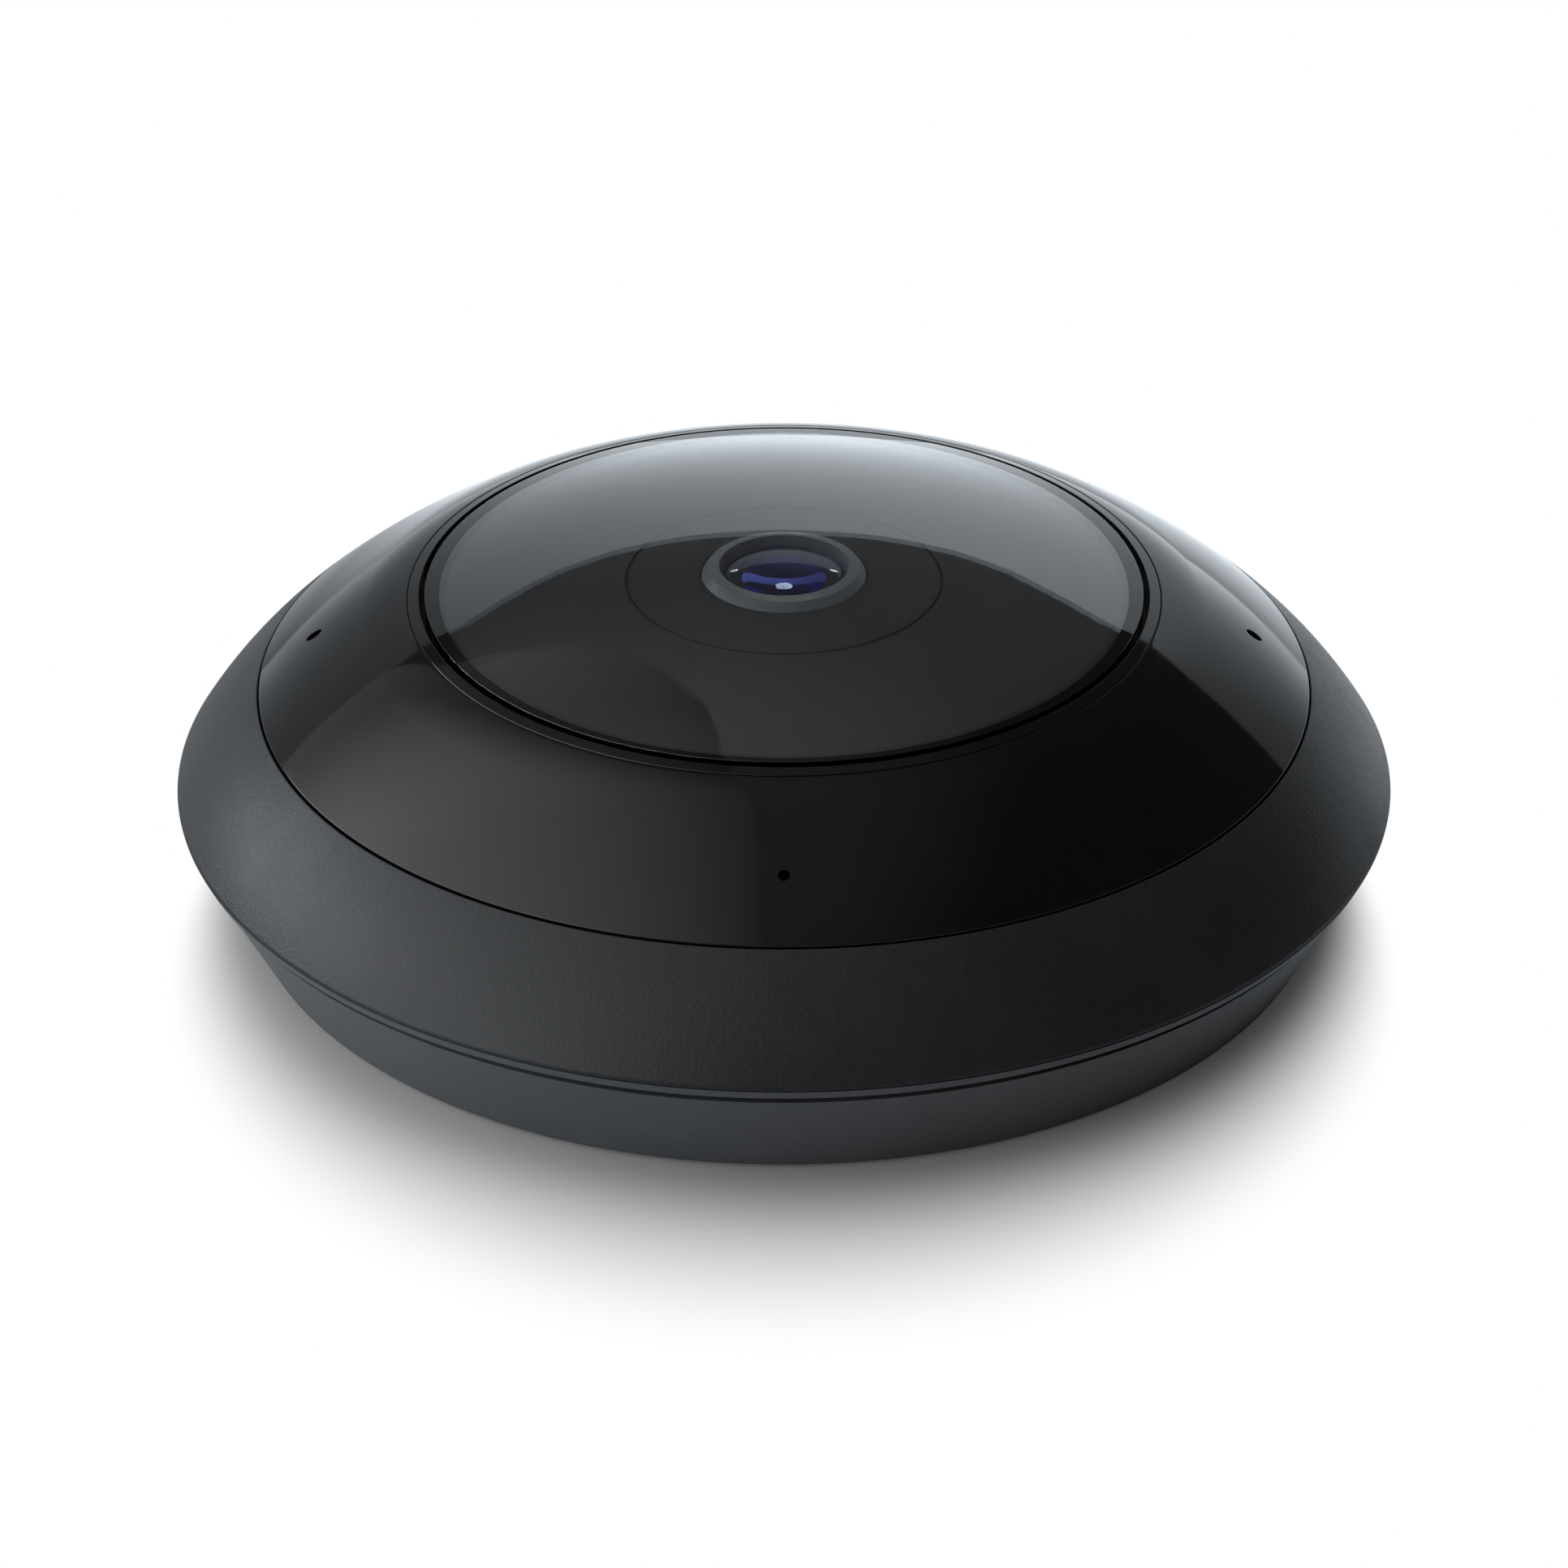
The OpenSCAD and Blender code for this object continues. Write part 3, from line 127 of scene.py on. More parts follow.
# Vent membrane: felted white plastic sheet, welded over the breather hole in the housing.
# Its fibres make it matt and paper-like.
dress(finish("felted_membrane", "d2d1cc", "efeeea", 0.9, 0.15, 0.03), "vent_membrane")

# Reset button, connectors, filter arm, switch and the cases round the filters: injection
# moulded acetal and nylon, clipped or screwed in place. Half glossy straight from the mould.
dress(finish("white_acetal", "cfcfd1", "dfdfe1", 0.35, 0.4, 0.004), "reset_button")
dress(finish("cream_nylon", "d8d5c6", "ebe8db", 0.5, 0.4, 0.008), "board_connectors",
      "filter_arm")
dress(finish("black_nylon", "17181b", "242629", 0.5, 0.35, 0.012), "reset_switch",
      "filter_case", "lens_holder")
dress(finish("slippery_acetal", "27292e", "33363a", 0.38, 0.4, 0.006), "filter_slider")

# Network jack: shell bent from tinplate, with faint drawing lines along its height, soldered
# to the main board. Its eight contact wires are sprung bronze, gold plated.
dress(finish("tinplate", "b9bec2", "d6d9dc", 0.28, 0.3, 0.003, 0.08, (1, 1, 0.05),
             Metallic=1), "ethernet_jack")
dress(finish("gold_plate", "c9a24a", "e0bf6c", 0.22, 0.1, 0.001, 0.05, Metallic=1),
      "jack_contacts")

# Circuit boards: glass-epoxy laminate under solder mask, held by screws and pillars. The mask
# is half glossy; copper tracks stand 35 microns proud beneath it, and the vias are tinned.


def board(name, mask, track, pitch):
    """Solder mask over tracks that run in blocks at a pitch in mm, with vias between them."""
    block, via_step, copper = 9 * pitch * mm, 4 * pitch * mm, 0.035 * mm
    made, tree = new_material(name)
    place = add(tree, "ShaderNodeTexCoord", {}, {}).outputs["Object"]
    cells = add(tree, "ShaderNodeTexVoronoi", {"distance": "MANHATTAN"}, {
        "Vector": place, "Scale": 1 / block, "Randomness": 1})
    bent = add(tree, "ShaderNodeVectorMath", {"operation": "MULTIPLY_ADD"}, {
        0: cells.outputs["Color"], 1: (0.02, 0.02, 0), 2: place}).outputs[0]
    lines = add(tree, "ShaderNodeTexBrick", {"offset": 0.5}, {
        "Vector": bent, "Scale": 1 / (pitch * mm), "Mortar Size": 0.18,
        "Mortar Smooth": 0.1, "Brick Width": 6, "Row Height": 1,
        "Color1": (0, 0, 0, 1), "Color2": (0, 0, 0, 1), "Mortar": (1, 1, 1, 1)}).outputs[0]
    vias = add(tree, "ShaderNodeTexVoronoi", {}, {
        "Vector": place, "Scale": 1 / via_step, "Randomness": 0.8}).outputs["Distance"]
    tin = add(tree, "ShaderNodeMapRange", {}, {
        "Value": vias, "From Min": 0.1, "From Max": 0.13, "To Min": 1, "To Max": 0}).outputs[0]
    laid = add(tree, "ShaderNodeMix", {"data_type": "RGBA"}, {
        0: lines, 6: linear(mask), 7: linear(track)}).outputs[2]
    colour = add(tree, "ShaderNodeMix", {"data_type": "RGBA"}, {
        0: tin, 6: laid, 7: linear("b9b7ae")}).outputs[2]
    rough = add(tree, "ShaderNodeMapRange", {}, {
        "Value": lines, "To Min": 0.3, "To Max": 0.38}).outputs[0]
    bump = add(tree, "ShaderNodeBump", {}, {
        "Height": lines, "Distance": copper, "Strength": 1}).outputs[0]
    shader = add(tree, "ShaderNodeBsdfPrincipled", {}, {
        "Base Color": colour, "Roughness": rough, "Metallic": tin, "Normal": bump})
    add(tree, "ShaderNodeOutputMaterial", {}, {"Surface": shader.outputs[0]})
    return made


dress(board("green_solder_mask", "123f2e", "1c5a41", 0.4), "main_board", "sensor_board",
      "mic_boards")
dress(board("white_solder_mask", "d6d6d2", "e4e4e0", 0.6), "ir_board")

# Parts on the main board and its pillars: matt moulded epoxy package, ferrite with a taped
# winding, drawn aluminium capacitor cans, and hexagon pillars turned from brass bar.
dress(finish("moulded_epoxy", "1c1e20", "292b2e", 0.6, 0.12, 0.006), "processor")
dress(finish("ferrite_and_tape", "2c2723", "413a34", 0.55, 0.8, 0.02), "poe_transformer")
dress(finish("aluminium_can", "8b8f94", "a5a9ad", 0.3, 0.3, 0.004, 0.07, (1, 1, 0.08),
             Metallic=1), "power_capacitors")
dress(finish("turned_brass", "b99a4c", "d0b467", 0.28, 0.12, 0.002, 0.06, (1, 1, 6),
             Metallic=1), "standoffs")

# Lens bracket: die-cast aluminium bridge over the board, screwed to the four pillars. Shot
# blasting leaves it a soft silver grey.
dress(finish("blasted_casting", "82868b", "9a9ea3", 0.5, 0.35, 0.03, Metallic=1),
      "lens_bracket")

# Image sensor: silicon chip in a ceramic package, soldered to the sensor board. Its polished
# cover glass gives it a clear gloss over blue and violet.
dress(finish("sensor_glass", "1b2b3c", "3b3350", 0.08, 3, 0, 0.03, **{"Coat Weight": 1}),
      "image_sensor")

# Day and night filters: dichroic glass and clear glass, cut from coated sheet and glued into
# the slider. The first looks pale cyan and throws a red gleam, the second is all but clear.


def glass(name, tint, low, high, ior, wave, specular_tint=(1, 1, 1, 1)):
    """Polished clear stuff: light passes to what is behind it. wave is the size in mm of its
    slight unevenness; low and high are the roughness of clean and touched places."""
    depth = 0.002 * mm
    made, tree = new_material(name)
    place = add(tree, "ShaderNodeTexCoord", {}, {}).outputs["Object"]
    cloud = add(tree, "ShaderNodeTexNoise", {}, {
        "Vector": place, "Scale": 1 / (wave * mm), "Detail": 4, "Roughness": 0.6}).outputs[0]
    rough = add(tree, "ShaderNodeMapRange", {}, {
        "Value": cloud, "From Min": 0.45, "From Max": 0.75, "To Min": low,
        "To Max": high}).outputs[0]
    bump = add(tree, "ShaderNodeBump", {}, {
        "Height": cloud, "Distance": depth, "Strength": 1}).outputs[0]
    solid = add(tree, "ShaderNodeBsdfPrincipled", {}, {
        "Base Color": tint, "Roughness": rough, "IOR": ior, "Transmission Weight": 1,
        "Specular Tint": specular_tint, "Normal": bump}).outputs[0]
    through = add(tree, "ShaderNodeBsdfTransparent", {}, {"Color": tint}).outputs[0]
    light = add(tree, "ShaderNodeLightPath", {}, {}).outputs["Is Shadow Ray"]
    mixed = add(tree, "ShaderNodeMixShader", {}, {0: light, 1: solid, 2: through})
    add(tree, "ShaderNodeOutputMaterial", {}, {"Surface": mixed.outputs[0]})
    return made


dress(glass("dichroic_filter", (0.55, 0.85, 0.86, 1), 0, 0.05, 1.52, 2, (0.9, 0.3, 0.35, 1)),
      "ir_filter_glass")
dress(glass("clear_filter", (0.93, 0.97, 0.96, 1), 0, 0.05, 1.52, 2), "clear_filter_glass")

# Filter drive: nickel plated magnet pressed into the arm, zinc plated soft iron yoke, and a
# winding of enamelled copper wire, glossy and red. Its fine wire is drawn as turns 1 mm wide,
# so that they show; the dark brown in the groove between turns is painted shade.
dress(finish("nickel_plate", "8f8d88", "a9a7a1", 0.2, 0.2, 0.002, 0.05, Metallic=1),
      "arm_magnet")
dress(finish("zinc_plated_iron", "7b7f84", "999da1", 0.34, 0.2, 0.004, 0.08, Metallic=1),
      "coil_yoke")

turn_width, turn_height = 1 * mm, 0.06 * mm
winding, tree = new_material("enamelled_copper")
place = add(tree, "ShaderNodeTexCoord", {}, {}).outputs["Object"]
turns = add(tree, "ShaderNodeTexWave", {"bands_direction": "Y", "wave_profile": "SIN"}, {
    "Vector": place, "Scale": pi / 10 / turn_width, "Distortion": 0.4, "Detail": 1}).outputs[0]
# Painted shade: colour runs from bright copper on each turn's crest to dark brown in the groove
# between turns.
colour = add(tree, "ShaderNodeMix", {"data_type": "RGBA"}, {
    0: turns, 6: linear("5a2410"), 7: linear("c8733a")}).outputs[2]
bump = add(tree, "ShaderNodeBump", {}, {
    "Height": turns, "Distance": turn_height, "Strength": 1}).outputs[0]
shader = add(tree, "ShaderNodeBsdfPrincipled", {}, {
    "Base Color": colour, "Metallic": 1, "Roughness": 0.3, "Normal": bump,
    "Coat Weight": 0.6}).outputs[0]
add(tree, "ShaderNodeOutputMaterial", {}, {"Surface": shader})
dress(winding, "filter_coil")

# Flat cables: amber polyimide film laminated over copper tracks, pushed into the board
# sockets. The film is glossy and lets the lengthwise tracks shine through.
dress(finish("polyimide_film", "9a5c22", "c98a3e", 0.25, 0.5, 0.01, 0.05, (8, 0.2, 0.2)),
      "sensor_flex", "ir_flex")

# Infrared lamps and microphones: pale gold ceramic packages and stamped cans plated with a
# thin gold, both soldered to their boards.
dress(finish("lamp_package", "b79f45", "d8c164", 0.25, 0.4, 0.004), "ir_leds")
dress(finish("plated_can", "b3a377", "cabc90", 0.3, 0.2, 0.003, Metallic=1), "microphones")

# Lens barrel: aluminium turned on a lathe and anodised deep satin black, stepped inside so
# that stray light dies in it. It screws into the holder to set the focus. Sizes are in mm.
barrel_r, thread_r, mouth_r, bore_r, stop_r = 8.15, 7, 7.5, 5, 4.2
barrel_foot, barrel_shoulder, barrel_top = 29.9, 38, 42.3
first_seat, front_seat = 30.7, 40.9
keen = radians(35)


def turn(mesh, start, path, at=(0, 0), sides=256):
    """Adds a closed turned form to mesh. start and path are (r, z) in mm, from an outline walked
    once round: (r, z) is a straight run, (r, z, centre r, centre z) an arc, and a last
    number alone in a step of three, (r, z, round), rounds that corner."""
    before = set(mesh.verts)
    tip = first = mesh.verts.new((start[0] * mm, 0, start[1] * mm))
    rounds = [(first, start[2])] if len(start) == 3 else []
    for step in path:
        end = Vector((step[0] * mm, 0, step[1] * mm))
        if len(step) < 4:
            tip = bmesh.ops.extrude_vert_indiv(mesh, verts=[tip])["verts"][0]
        else:
            centre = Vector((step[2] * mm, 0, step[3] * mm))
            arm, goal = tip.co - centre, end - centre
            sweep = atan2(goal.x, goal.z) - atan2(arm.x, arm.z)
            sweep = (sweep + pi) % (2 * pi) - pi
            steps = max(6, min(24, ceil(abs(degrees(sweep)))))
            made = bmesh.ops.spin(mesh, geom=[tip], cent=centre, axis=(0, 1, 0), angle=sweep,
                                  steps=steps)["geom_last"]
            tip = next(g for g in made if isinstance(g, bmesh.types.BMVert))
        tip.co = end
        if len(step) in (3, 5):
            rounds.append((tip, step[-1]))
    if first.co.x > 0:
        mesh.edges.new((tip, first))
    for corner, radius in rounds:
        bmesh.ops.bevel(mesh, geom=[corner], offset=radius * mm, offset_type="OFFSET",
                        segments=5, profile=0.5, affect="VERTICES", material=-1)
    line = [v for v in mesh.verts if v not in before]
    edges = list({e for v in line for e in v.link_edges})
    bmesh.ops.spin(mesh, geom=line + edges, cent=(0, 0, 0), axis=(0, 0, 1), angle=2 * pi,
                   steps=sides, use_merge=True)
    fresh = [v for v in mesh.verts if v not in before]
    bmesh.ops.remove_doubles(mesh, verts=fresh, dist=0.0001 * mm)
    fresh = [v for v in mesh.verts if v not in before]
    bmesh.ops.translate(mesh, verts=fresh, vec=(at[0] * mm, at[1] * mm, 0))


def make(name, mesh, material, stands_for):
    """The finished piece from mesh. It rides on the camera and stands for a CAD node; edges
    sharper than the angle keen stay crisp."""
    bmesh.ops.recalc_face_normals(mesh, faces=mesh.faces)
    for face in mesh.faces:
        face.smooth = True
    made = bpy.data.meshes.new(name)
    mesh.to_mesh(made)
    mesh.free()
    made.set_sharp_from_angle(angle=keen)
    made.materials.append(material)
    piece = bpy.data.objects.new(name, made)
    bpy.context.scene.collection.objects.link(piece)
    even = piece.modifiers.new("even_shading", "WEIGHTED_NORMAL")
    even.keep_sharp = True
    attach(piece, "camera")
    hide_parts(stands_for)
    return piece


anodised = finish("black_anodised_aluminium", "0a0a0b", "131416", 0.42, 0.15, 0.004)
mesh = bmesh.new()
turn(mesh, (thread_r, barrel_foot, 0.2), [
    (thread_r, barrel_shoulder), (barrel_r, barrel_shoulder, 0.2), (barrel_r, barrel_top, 0.1),
    (mouth_r, barrel_top, 0.1), (mouth_r, front_seat), (bore_r, front_seat),
    (bore_r, first_seat), (stop_r, first_seat), (stop_r, barrel_foot)])
make("barrel", mesh, anodised, "lens_barrel")

# Lens glasses: ground and polished. The elements sit in the barrel's bore, the front one is
# cemented in its counterbore. Coatings on their rear faces throw back blue and violet.
element_r, element_step, element_thick, rear_ball, fore_ball = 4.95, 3.1, 2.3, 40.99, 20.72
front_r, front_low, front_top, front_rear_ball, front_ball = 7.4, 40.7, 44.55, 61.36, 29.9


def on(face, out, inside=0):
    """The end of an arc step of turn: the point of a face at the distance out from the axis,
    and the centre. A face is part of a ball, (centre r, centre z, radius), and the radius is
    negative where it is the ball's lower side. inside is a depth in mm below the face."""
    centre_r, centre_z, ball = face
    rise = sqrt((abs(ball) - inside) ** 2 - (out - centre_r) ** 2)
    return out, centre_z + (rise if ball > 0 else -rise), centre_r, centre_z


clear = glass("coated_lens_glass", (0.8, 0.86, 0.97, 1), 0, 0, 1.52, 4, (0.2, 0.3, 0.75, 1))
coating, tree = new_material("violet_coating")
place = add(tree, "ShaderNodeTexCoord", {}, {}).outputs["Object"]
cloud = add(tree, "ShaderNodeTexNoise", {}, {"Vector": place, "Scale": 150}).outputs[0]
colour = add(tree, "ShaderNodeMix", {"data_type": "RGBA"}, {
    0: cloud, 6: linear("7880e0"), 7: linear("8a90f4")}).outputs[2]
film = add(tree, "ShaderNodeBsdfAnisotropic", {}, {"Color": colour, "Roughness": 0.01}).outputs[0]
through = add(tree, "ShaderNodeBsdfRefraction", {}, {
    "Color": (0.8, 0.86, 0.97, 1), "Roughness": 0, "IOR": 1.52}).outputs[0]
mixed = add(tree, "ShaderNodeMixShader", {}, {0: 0.4, 1: film, 2: through})
add(tree, "ShaderNodeOutputMaterial", {}, {"Surface": mixed.outputs[0]})
mesh = bmesh.new()
for i in (2, 1, 0):
    low = first_seat + i * element_step
    back, face = (0, low + rear_ball, -rear_ball), (0, low + element_thick - fore_ball, fore_ball)
    turn(mesh, (0, low), [on(back, element_r), on(face, element_r)[:2], on(face, 0)])
inner = make("inner_lenses", mesh, clear, "lens_elements")

mesh = bmesh.new()
front_back = (0, front_low + front_rear_ball, -front_rear_ball)
front_face = (0, front_top - front_ball, front_ball)
turn(mesh, (0, front_low), [
    on(front_back, element_r), (front_r, front_seat, 0.1), (*on(front_face, front_r)[:2], 0.15),
    on(front_face, 0)])
front = make("front_lens", mesh, clear, "lens_front_glass")
for piece in (inner, front):
    piece.data.materials.append(coating)
    for face in piece.data.polygons:
        if face.normal.z < -0.5:
            face.material_index = 1

# Lens bezel: aluminium ring turned with a conical side and a nearly flat top, painted satin
# dark grey, dull enough to show no lamps. Its flange is held down by the lens plate.
bezel_r, bezel_bore, flange_r, flange = 10.5, 8.25, 12, 0.9
bezel_foot, bezel_top, cone_width, cone_low, cone_high = 40.79, 44.55, 0.85, 1.25, 0.2
bezel_paint = finish("satin_dark_grey", "4b4e51", "56595c", 0.38, 0.2, 0.006)
mesh = bmesh.new()
turn(mesh, (bezel_bore, bezel_foot), [
    (flange_r, bezel_foot), (flange_r, bezel_foot + flange), (bezel_r, bezel_foot + flange),
    (bezel_r, bezel_top - cone_low, 0.1), (bezel_r - cone_width, bezel_top - cone_high, 0.06),
    (bezel_bore, bezel_top, 0.06)])
make("bezel", mesh, bezel_paint, "lens_bezel")

# Lens plate: disc moulded in the same satin black as the shroud, in whose middle it sits with
# a fine gap. It rises a little towards the bezel, whose flange it holds down.
bezel_gap = 0.18
plate_r, plate_bore = 19.95, bezel_r + bezel_gap
plate_edge, plate_middle, plate_edge_low, plate_middle_low = 42.62, 43.29, 41.21, 41.89
satin = finish("satin_black", "18191b", "1f2022", 0.45, 0.3, 0.006,
               **{"Specular IOR Level": 0.1})
mesh = bmesh.new()
turn(mesh, (plate_bore, plate_middle_low), [
    (plate_r, plate_edge_low), (plate_r, plate_edge, 0.05), (plate_bore, plate_middle, 0.05)])
make("plate_round_lens", mesh, satin, "lens_plate")

# Inner shroud: moulded dish that hides the works under the window, satin black so that it
# gives no reflections to the lens. Three posts take screws from below.
plate_gap, lip_bore, lip_low, lip_thick = 0.35, 17.6, 39.69, 1.6
seam_r, seam_low, seam_top = plate_r + plate_gap, 41.1, 42.6
shroud_r, shroud_foot, skirt, under_high, under_low = 43.85, 34, 1.6, 39.5, 39.29
edge_round, edge_fall = 1.3, radians(4)
post_r, post_bore, post_deep, post_foot, post_top, post_out = 2.5, 1.15, 37.8, 32.3, 40, 30
mesh = bmesh.new()
edge_end = shroud_r - edge_round * (1 - sin(edge_fall))
turn(mesh, (lip_bore, lip_low + lip_thick), [
    (lip_bore, lip_low), (20.2, under_high), (40.65, 39.42), (41.31, under_low),
    (shroud_r - skirt, under_low), (shroud_r - skirt, shroud_foot), (shroud_r, shroud_foot, 0.3),
    (shroud_r, lip_low), on((shroud_r - edge_round, lip_low, edge_round), edge_end),
    (seam_r, seam_top, 0.05), (seam_r, seam_low)])
for i in range(3):
    spot = radians(30 + 120 * i)
    turn(mesh, (0, post_deep), [
        (post_bore, post_deep), (post_bore, post_foot), (post_r, post_foot, 0.2),
        (post_r, post_top), (0, post_top)], (post_out * cos(spot), post_out * sin(spot)), 48)
make("shroud", mesh, satin, "inner_shroud")

# Window gasket and cover seal: moulded black silicone rings. The gasket is squeezed between
# the window's edge and the trim ring, the seal lies in the joint of the two shells.
window_face, window_thick, window_r = (0, -123.5, 172.5), 2, 46.1
gasket_bore, window_seat, squeeze = 44.7, 39.9, 0.1
cover_bore, cover_foot, seal_r, seal_low = 75.1, 14.8, 76.48, 14.05
mesh = bmesh.new()
turn(mesh, (gasket_bore, window_seat), [
    (window_r, window_seat, 0.1), on(window_face, window_r, window_thick + squeeze)[:2],
    on(window_face, gasket_bore, window_thick + squeeze)])
make("gasket", mesh, rubber, "window_gasket")
mesh = bmesh.new()
turn(mesh, (cover_bore, seal_low), [
    (seal_r, seal_low), (seal_r, cover_foot), (cover_bore, cover_foot)])
make("seal", mesh, rubber, "cover_seal")

# Dome window: a shallow part of a ball, moulded in clear polycarbonate and hard coated, so
# that both faces mirror sharply. Its edge is printed black below, over the gasket.
border_r = 43.9
mesh = bmesh.new()
turn(mesh, on(window_face, 0, window_thick)[:2], [
    on(window_face, border_r, window_thick), on(window_face, window_r, window_thick),
    (*on(window_face, window_r)[:2], 0.08), on(window_face, 0)])
dome = make("dome", mesh, glass("hard_coated_polycarbonate", (0.94, 0.95, 0.96, 1), 0,
                                0.015, 1.586, 9), "dome_window")
dome.data.materials.append(finish("black_border_ink", "040404", "080808", 0.6, 0.2, 0.002,
                                  **{"Specular IOR Level": 0}))
for face in dome.data.polygons:
    out = hypot(face.center.x, face.center.y)
    if out > border_r * mm and face.normal.z < 0:
        face.material_index = 1

# Trim ring: ring moulded in polished black plastic, which clamps the window on its gasket and
# clips under the infrared cover. It mirrors like black glass.
window_gap, trim_r, trim_lip_r, trim_low, trim_edge, trim_crown = 0.78, 48.3, 44.6, 38, 42.1, 42.51
clip_inner, clip_outer, clip_low, trim_bore = 46.8, 51.6, 36.5, window_r + window_gap
polished = finish("polished_black", "070708", "0b0b0c", 0.06, 4, 0.001, 0.03)
mesh = bmesh.new()
turn(mesh, (trim_lip_r, trim_low), [
    (clip_inner, trim_low), (clip_inner, clip_low), (clip_outer, clip_low),
    (clip_outer, trim_low), (trim_r, trim_low), (trim_r, trim_edge, 0.1),
    (trim_bore, trim_crown, 0.1), (trim_bore, window_seat), (trim_lip_r, window_seat)])
make("trim", mesh, polished, "window_trim_ring")

# Infrared cover: glossy black ring, moulded from a polycarbonate that looks black but passes
# infrared, with four microphone holes square to its skin; the two at the sides are oblong.
# Its skin is two arcs that meet without a kink: the brow by the trim, and the shoulder.
brow, shoulder, wall = (40.552, 15.536, 27.671), (10.72, -36.573, 87.715), 2.4
fit, glossy_r, glossy_lip, glossy_low, brow_inner, joint, joint_inner = (
    0.1, 67.85, 65.45, 26.8, 50.5, 54.3, 53.108)
mic_out, mic_r, mic_flare, mic_deep, round_hole, oblong = 60.7, 0.725, 0.82, 6, (1, 1), (1.7, 1.25)
mesh = bmesh.new()
turn(mesh, (trim_r + fit, trim_low + fit), [
    (brow_inner, trim_low + fit), on(brow, brow_inner, wall)[:2], on(brow, joint_inner, wall),
    on(shoulder, glossy_lip, wall), (glossy_lip, glossy_low), (glossy_r, glossy_low),
    (*on(shoulder, glossy_r)[:2], 0.08), on(shoulder, joint), (*on(brow, trim_r + fit), 0.15)])
cover = make("infrared_cover", mesh, polished, "ir_cover")
drill = bmesh.new()
slope = asin((mic_out - shoulder[0]) / shoulder[2])
mic_high = shoulder[1] + shoulder[2] * cos(slope)
for i, reach in enumerate((oblong, round_hole, oblong, round_hole)):
    before = set(drill.verts)
    turn(drill, (0, -mic_deep), [
        (mic_r, -mic_deep), (mic_r, -0.02), (mic_flare, 0.115), (0, 0.115)], sides=48)
    bmesh.ops.transform(
        drill, verts=[v for v in drill.verts if v not in before],
        matrix=Matrix.Rotation(pi / 2 * i, 4, "Z")
        @ Matrix.Translation((mic_out * mm, 0, mic_high * mm))
        @ Matrix.Rotation(slope, 4, "Y") @ Matrix.Diagonal((*reach, 1, 1)))
bmesh.ops.recalc_face_normals(drill, faces=drill.faces)
made = bpy.data.meshes.new("drill")
drill.to_mesh(made)
drill.free()
drill = bpy.data.objects.new("drill", made)
bpy.context.scene.collection.objects.link(drill)
cut = cover.modifiers.new("holes", "BOOLEAN")
cut.object = drill
cut.solver = "EXACT"
cover.modifiers.remove(cover.modifiers["even_shading"])
graph = bpy.context.evaluated_depsgraph_get()
drilled = bpy.data.meshes.new_from_object(cover.evaluated_get(graph))
cover.modifiers.clear()
cover.data = drilled
drilled.set_sharp_from_angle(angle=keen)
cover.modifiers.new("even_shading", "WEIGHTED_NORMAL").keep_sharp = True
bpy.data.objects.remove(drill)

# Outer cover: matte polycarbonate ring with spark-eroded grain, screwed from below into four
# bosses. A fine groove ends the grain at the rim; the edge under it is satin like the band.
# The real grain of about 0.1 mm is drawn 0.45 mm wide, so that it shows.
flank, rim, widest, rim_end = (31.706, -12.198, 55.551), (77.8, 16.6, 1.2), 79, 78.818
cover_r, cover_lip, shelf, shelf_low, shelf_r = 68.05, 60.5, 26.8, 24.4, 70.249
edge_low, step_in, edge_in, edge_out, groove_low, groove_high, groove_deep = (
    15.25, 2.1, 1.7, 0.65, 16.5, 16.74, 0.18)
boss_out, boss_r, boss_bore, boss_foot, boss_deep, boss_top = 64, 3.6, 1.55, 16.2, 21.3, 24.8
grained = finish("spark_eroded_plastic", "1f2123", "26282b", 0.42, 0.45, 0.05,
                 **{"Specular IOR Level": 0.35})
mesh = bmesh.new()
turn(mesh, (cover_lip, shelf_low), [
    (shelf_r, shelf_low), on(flank, cover_bore, wall), (cover_bore, cover_foot),
    (widest - step_in, cover_foot), (widest - edge_in, edge_low),
    (widest - edge_out, edge_low, 0.06), (widest - 0.04, groove_low, 0.04),
    (widest - groove_deep, rim[1]), (widest - 0.01, groove_high, 0.03), on(rim, rim_end),
    (*on(flank, cover_r), 0.3), (cover_r, shelf), (cover_lip, shelf)])
for i in range(4):
    spot = radians(30 + 90 * i)
    turn(mesh, (0, boss_deep), [
        (boss_bore, boss_deep), (boss_bore, boss_foot), (boss_r, boss_foot, 0.2),
        (boss_r, boss_top), (0, boss_top)], (boss_out * cos(spot), boss_out * sin(spot)), 48)
cover = make("cover", mesh, grained, "outer_cover")
cover.data.materials.append(coat)
for face in cover.data.polygons:
    out = hypot(face.center.x, face.center.y)
    if out > (widest - 0.7) * mm and face.center.z < groove_low * mm:
        face.material_index = 1

# Floor: white table. The camera sees it evenly white; the object's gloss sees painted light
# on it, brightest behind and bluish like the lamps. Its shadow is partly real and partly painted:
# near the foot the plain floor takes the real shadow, which fades into painted white along an
# outline drawn by distance, close round the foot and reaching furthest to the front. It is open
# under the plate and shows nothing from below, for looks at the underside. Sizes in metres.
# Sizes of the painted shadow outline, where the real shadow near the foot is faded into white.
foot_r, painted_shadow_r, painted_shadow_back, painted_shadow_squeeze, painted_shadow_reach = 0.0705, 0.092, 0.022, 1.14, 0.9
opening_r, floor_r, floor_low = 0.067, 6, 0.1 * mm
white, tree = new_material("white_floor")
place = add(tree, "ShaderNodeTexCoord", {}, {}).outputs["Object"]
far = add(tree, "ShaderNodeVectorMath", {"operation": "LENGTH"}, {0: place}).outputs["Value"]
foot = add(tree, "ShaderNodeMath", {"operation": "MAXIMUM"}, {0: far, 1: foot_r}).outputs[0]
